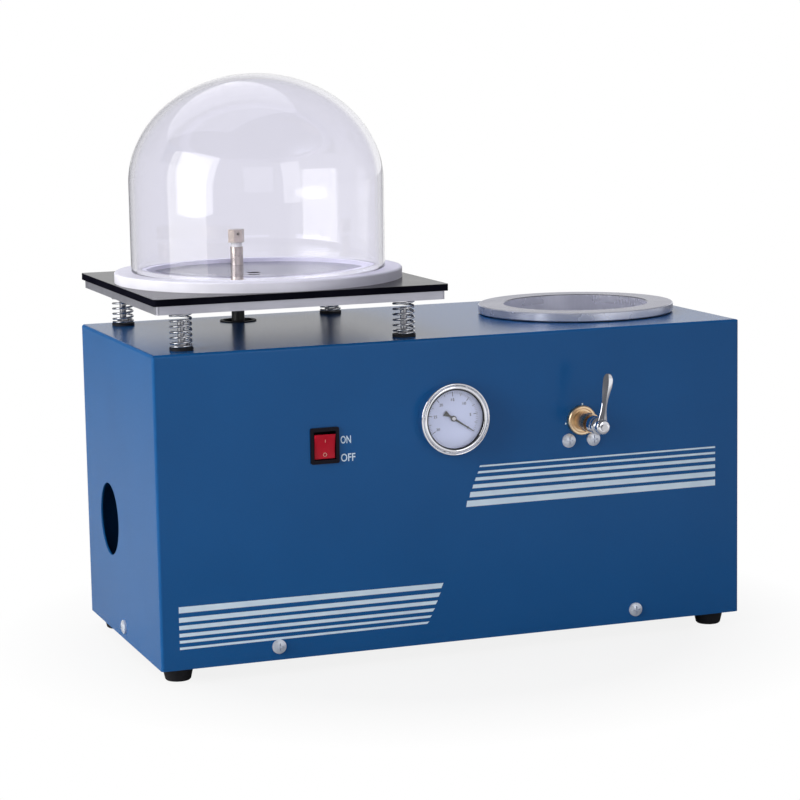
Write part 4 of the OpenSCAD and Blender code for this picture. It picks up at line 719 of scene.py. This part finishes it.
# The rocker turns about a line PIVOT_Y behind the front. Its own sizes, from that line:
# width, height, the face's reach, the hollow's depth, the body's depth and its taper
ROCKER_TILT, PIVOT_Y = 7.0, 6.0
ROCKER_W, ROCKER_H, FACE_REACH, HOLLOW, BODY_T, TAPER = 19.0, 22.0, 8.0, 1.1, 9.0, 0.82
put_down()
bpy.ops.mesh.primitive_grid_add(x_subdivisions=4, y_subdivisions=16, size=1)
rocker = bpy.context.object
# The face is hollow from top to bottom, and deepest across its middle
for vertex in rocker.data.vertices:
    across, up = vertex.co.x, vertex.co.y
    face = -FACE_REACH + HOLLOW * (1 - min(1.0, abs(up) * 2) ** 2)
    vertex.co = Vector((across * ROCKER_W, face, up * ROCKER_H)) * MM
take(rocker)
bpy.ops.object.mode_set(mode="EDIT")
bpy.ops.mesh.select_all(action="SELECT")
bpy.ops.mesh.extrude_region_move(TRANSFORM_OT_translate={"value": (0, BODY_T * MM, 0)})
bpy.ops.transform.resize(value=(1, 0.0, TAPER), center_override=(0, (BODY_T - FACE_REACH) * MM, 0))
bpy.ops.mesh.select_all(action="SELECT")
bpy.ops.mesh.normals_make_consistent(inside=False)
bpy.ops.object.mode_set(mode="OBJECT")
modify(rocker, "BEVEL", width=0.7 * MM, segments=3, limit_method="ANGLE",
       angle_limit=math.radians(40))
rocker.rotation_euler = (math.radians(ROCKER_TILT), 0, 0)
rocker.location = at(SWITCH_X, PIVOT_Y, SWITCH_Z)
settle(rocker)
smooth(rocker, 40)
finished(rocker, "dished_rocker", "rocker", switch_red, ["switch_rocker"])

# How far in front of the pivot the marks' plane is, and the marks' heights from the pivot
MARK_REACH, STROKE_Z, RING_Z = 7.75, 5.2, -7.0
STROKE_SIZE = (0.5, 0.12, 2.6)
RING_PROFILE = [(1.75, 0), (1.75, 0.5), (1.25, 0.5), (1.25, 0)]


def rocker_mark(piece):
    """Tilts a mark drawn on the plane through the pivot so that it lies on the rocker's face."""
    tilt = Matrix.Rotation(math.radians(ROCKER_TILT), 4, "X")
    pivot = Matrix.Translation(at(SWITCH_X, PIVOT_Y, SWITCH_Z))
    piece.data.transform(pivot @ tilt @ Matrix.Translation((0, -MARK_REACH * MM, 0)))
    return piece


put_down()
bpy.ops.mesh.primitive_cube_add(size=1, scale=[side * MM for side in STROKE_SIZE],
                                location=(0, -0.05 * MM, STROKE_Z * MM))
stroke = rocker_mark(settle(bpy.context.object))
ring_mark = turned(RING_PROFILE, (0, 0.2 * MM, RING_Z * MM), FACING_FRONT, 32, "joined")
finished(joined([stroke, rocker_mark(ring_mark)]), "rocker_marks", "rocker", rocker_print)

# ---------------------------------------------------------------- prints on the front

# Each lower stripe: its top and bottom on the left, the same on the right, and its right end
STRIPES_LOW = [(55.2, 49.8, 53.9, 49.4, 257.3), (45.8, 41.6, 45.5, 41.8, 254.5),
               (38.8, 35.1, 38.6, 35.3, 251.7), (31.9, 28.8, 31.8, 29.1, 248.9),
               (25.8, 23.4, 25.8, 23.7, 246.1), (19.9, 17.8, 20.4, 18.4, 243.4)]
LOW_STRIPES_LEFT, LOW_SLANT = 16.5, 1.0
# Each upper stripe: its top and bottom, and its left end
STRIPES_HIGH = [(156.5, 155.0, 294.3), (151.4, 149.4, 292.6), (146.0, 143.0, 290.0),
                (139.8, 136.4, 287.5), (133.3, 128.6, 284.7), (125.7, 120.2, 281.5)]
HIGH_STRIPES_RIGHT, HIGH_SLANT = 526.1, 0.5
stripes = []
for left_top, left_bottom, right_top, right_bottom, right in STRIPES_LOW:
    stripes.append(film([(LOW_STRIPES_LEFT, left_bottom), (right - LOW_SLANT, right_bottom),
                         (LOW_STRIPES_LEFT, left_top), (right + LOW_SLANT, right_top)]))
for top, bottom, left in STRIPES_HIGH:
    stripes.append(film([(left - HIGH_SLANT, bottom), (HIGH_STRIPES_RIGHT, bottom),
                         (left + HIGH_SLANT, top), (HIGH_STRIPES_RIGHT, top)]))
finished(joined(stripes), "front_stripes", "cabinet", print_white)

# What is written, then its left, right, lower and upper edges
SWITCH_WORDS = [("ON", 165.2, 174.7, 185.4, 192.2), ("OFF", 165.2, 178.4, 169.6, 176.6)]
switch_words = [lettering(*word, bold=0.15) for word in SWITCH_WORDS]
finished(joined(switch_words), "switch_words", "cabinet", print_white)

# Dots above the valve, on its left and on its right
VALVE_DOTS, DOT_R = [(393.8, 204.6), (377.5, 187.9), (407.5, 189.5)], 0.8
finished(joined([disc_mark(x, z, DOT_R) for x, z in VALVE_DOTS]), "valve_marks", "cabinet",
         print_white)

# ---------------------------------------------------------------- gauge dial

GAUGE_X, GAUGE_Z, DIAL_FACE = 268.0, 201.0, -3.5
# The scale runs from its zero at the lower right, and so many degrees anticlockwise
SWEEP_START, SWEEP, STEPS = -33.0, 246.0, 60
# Kinds of mark, the longest first: how often it comes, its inner radius and its width
MARK_KINDS, MARK_OUT = [(10, 19.6, 0.55), (5, 20.6, 0.4), (1, 21.8, 0.22)], 23.6
# The highest number, the step between numbers, their radius, and half a digit's width and height
LAST_NUMBER, NUMBER_STEP, NUMBER_R, DIGIT_W, DIGIT_H = 30, 5, 16.6, 0.8, 1.25


def dial_bar(angle, inner, width):
    """One mark of the dial, from its inner radius out."""
    c, s = math.cos(math.radians(angle)), math.sin(math.radians(angle))
    corners = []
    for r, side in ((inner, -1), (MARK_OUT, -1), (inner, 1), (MARK_OUT, 1)):
        corners.append((GAUGE_X + r * c - side * width / 2 * s,
                        GAUGE_Z + r * s + side * width / 2 * c))
    bar = film(corners, 0.05)
    bar.data.transform(Matrix.Translation((0, DIAL_FACE * MM, 0)))
    return bar


scale_marks = []
for i in range(STEPS + 1):
    inner, width = next(size for every, *size in MARK_KINDS if i % every == 0)
    scale_marks.append(dial_bar(SWEEP_START + SWEEP * i / STEPS, inner, width))
for number in range(0, LAST_NUMBER + 1, NUMBER_STEP):
    angle = math.radians(SWEEP_START + SWEEP * number / LAST_NUMBER)
    x, z = GAUGE_X + NUMBER_R * math.cos(angle), GAUGE_Z + NUMBER_R * math.sin(angle)
    half = DIGIT_W * len(str(number))
    scale_marks.append(lettering(str(number), x - half, x + half, z - DIGIT_H, z + DIGIT_H,
                                 DIAL_FACE - 0.05, 0.1))
finished(joined(scale_marks), "dial_scale", "cabinet", dial_ink)

# Profiles of (radius, depth behind the bezel's front)
BEZEL_PROFILE = [(26.5, 2.0), (26.5, 0.9), (26.9, 0.35), (27.6, 0.1), (28.9, 0.1), (29.3, 0.5),
                 (29.5, 2.8), (29.9, 2.8), (30.1, 0.8), (30.4, 0.35), (30.9, 0.12), (31.4, 0.15),
                 (31.85, 0.6), (32.0, 1.4), (32.0, 4.0), (31.8, 4.3), (31.8, 4.9), (32.0, 5.2),
                 (32.0, 11.2), (31.7, 12.0), (31.05, 12.0), (31.05, 2.0)]
DARK_RING_PROFILE = [(26.5, 2.0), (26.5, 0.7), (26.3, 0.5), (26.0, 0.6), (25.8, 0.9), (25.8, 2.0)]
CAP_PROFILE = [(0.5, 0), (1.3, 0.1), (1.7, 0.5), (1.7, 1.0)]
BEZEL_FRONT, CAP_FRONT = -12.0, -6.9
bezel = turned(BEZEL_PROFILE, at(GAUGE_X, BEZEL_FRONT, GAUGE_Z), FACING_BACK, 128, "joined", 50)
finished(bezel, "rolled_bezel", "cabinet", chrome, ["gauge_bezel"])
# A black ring round the lens's edge, which draws a dark line round the dial
dark_ring = turned(DARK_RING_PROFILE, at(GAUGE_X, BEZEL_FRONT, GAUGE_Z), FACING_BACK, 128, "joined", 50)
finished(dark_ring, "dark_lens_ring", "cabinet", black_rubber)
cap = turned(CAP_PROFILE, at(GAUGE_X, CAP_FRONT, GAUGE_Z), FACING_BACK, 32)
finished(cap, "pointer_cap", "pointer", zinc_steel)

# ---------------------------------------------------------------- stage, light and camera

# Headings on the floor: to the white card, which stands at the back right so that the cabinet's
# left side doesn't mirror it, and across that
BEHIND, ACROSS = (0.500, 0.866, 0.0), (0.866, -0.500, 0.0)
# Where the front's plated pieces mirror the floor, and to the left of that
AHEAD, LEFT_OF_AHEAD = (0.343, -0.939, 0.0), (-0.939, -0.343, 0.0)
# To a pale wall on the camera's right
WALL = (0.766, -0.643, 0.0)


def seen_white(finish, far, card):
    """1 where the camera sees white itself (far) or in a reflection (card), else 0."""
    camera, glossy, through = [finish.node("ShaderNodeLightPath", output=f"Is {kind} Ray")
                               for kind in ("Camera", "Glossy", "Transmission")]
    return (camera.either(through) * far).either(glossy * card)


def stage_material(name, colour):
    """A floor seen white from some way off, with the object's soft shadow round it."""
    finish = Finish(name)
    finish.surface(Base_Color=colour, Roughness=0.9, Specular_IOR_Level=0.1)
    far = finish.ramp(finish.radius((0, 0, 0)), [(0.25, 0.86), (0.40, 1.0)])
    card = finish.ramp(finish.along(BEHIND), [(0.28, 0.0), (0.40, 1.0)])
    beside = finish.ramp(finish.along(ACROSS).maths("ABSOLUTE"), [(0.40, 1.0), (0.60, 0.0)])
    ahead = finish.ramp(finish.along(AHEAD), [(0.45, 0.0), (0.90, 1.0)])
    to_left = finish.ramp(finish.along(LEFT_OF_AHEAD), [(0.72, 1.0), (0.98, 0.0)])
    plain = finish.node("ShaderNodeEmission", None, {"Color": (1, 1, 1, 1), "Strength": 1.0})
    mixed = finish.node("ShaderNodeMixShader", None, [
        seen_white(finish, far, (card * beside).either(ahead * to_left)),
        Signal(finish, finish.shader.outputs[0]), plain])
    finish.tree.links.new(mixed.socket, finish.tree.nodes["Material Output"].inputs["Surface"])
    return finish.material


put_down()
bpy.ops.mesh.primitive_plane_add(size=40, location=(0, 0, 0))
floor = bpy.context.object
floor.name = "studio_floor"
floor.data.materials.append(stage_material("studio_floor_white", (0.50, 0.50, 0.51)))

world = bpy.data.worlds.new("studio_world")
bpy.context.scene.world = world
world.use_nodes = True


class Surroundings(Finish):
    """The world's nodes, made the way a finish's are."""

    def __init__(self):
        self.tree = world.node_tree
        self.tree.nodes.clear()
        self.place = self.node("ShaderNodeTexCoord", output="Generated")


around = Surroundings()
# The eye sees white all round. Reflections see the card and the wall, and are dark elsewhere
card = around.ramp(around.along(BEHIND), [(0.84, 0.0), (0.93, 1.0)])
wall = around.ramp(around.along(WALL), [(0.60, 0.0), (0.82, 1.0)])
mirrored = around.node("ShaderNodeLightPath", output="Is Glossy Ray")
dim = around.node("ShaderNodeBackground", None, {
    "Color": (0.93, 0.94, 1.0, 1), "Strength": 0.28 - mirrored * 0.13})
white = around.node("ShaderNodeBackground", None, {"Color": (1, 1, 1, 1), "Strength": 1.0})
mixed = around.node("ShaderNodeMixShader", None, [
    seen_white(around, 1.0, card.either(wall * 0.7)), dim, white])
around.node("ShaderNodeOutputWorld", None, {"Surface": mixed})

AIM = Vector((-0.14, 0.0, 0.30))


def softbox(name, azimuth, distance, middle_z, width, height, brightness, mirrored=True,
            tint=(1, 1, 1)):
    """A panel light aimed at the object. Azimuth is in degrees from the front to the left."""
    a = math.radians(azimuth)
    place = Vector((AIM.x - distance * math.sin(a), AIM.y - distance * math.cos(a), middle_z))
    put_down()
    bpy.ops.object.light_add(type="AREA", location=place)
    lamp = bpy.context.object
    lamp.name = name
    lamp.data.shape = "RECTANGLE"
    lamp.data.size, lamp.data.size_y = width, height
    # A panel of this power has the wanted brightness all over
    lamp.data.energy = brightness * math.pi * width * height
    lamp.data.color = tint
    lamp.rotation_euler = (AIM - place).to_track_quat("-Z", "Y").to_euler()
    lamp.visible_glossy = mirrored


softbox("left_softbox", 74, 1.9, 0.91, 1.35, 1.40, 3.0)
softbox("left_fill", 84, 2.0, 0.80, 1.6, 1.6, 4.0, mirrored=False, tint=(1.0, 1.0, 0.86))
softbox("right_softbox", -15, 2.5, 0.93, 0.75, 1.40, 1.6)
softbox("front_fill", 15, 2.5, 0.90, 1.2, 1.2, 1.5, mirrored=False)
softbox("top_softbox", 160, 0.9, 2.3, 2.4, 2.4, 1.3, mirrored=False)

# The camera's lens and sensor in mm, its place in the frame, and its turns in radians
LENS, SENSOR = 114.64, 36
CAMERA_PLACE = (-0.8054, -2.1715, 0.5590)
PITCH, YAW, ROLL = 0.14776, 0.34986, -0.01778
bpy.ops.object.camera_add()
camera = bpy.context.object
camera.name = "photo_camera"
camera.data.lens, camera.data.sensor_width = LENS, SENSOR
forward = Vector((math.sin(YAW) * math.cos(PITCH), math.cos(YAW) * math.cos(PITCH),
                  -math.sin(PITCH)))
level = Vector((math.cos(YAW), -math.sin(YAW), 0))
upward = level.cross(forward)
right = level * math.cos(ROLL) + upward * math.sin(ROLL)
up = upward * math.cos(ROLL) - level * math.sin(ROLL)
facing = Matrix((right, up, -forward)).transposed()
camera.matrix_world = Matrix.Translation(CAMERA_PLACE) @ facing.to_4x4()
bpy.context.scene.camera = camera
bpy.context.scene.view_settings.view_transform = "Standard"
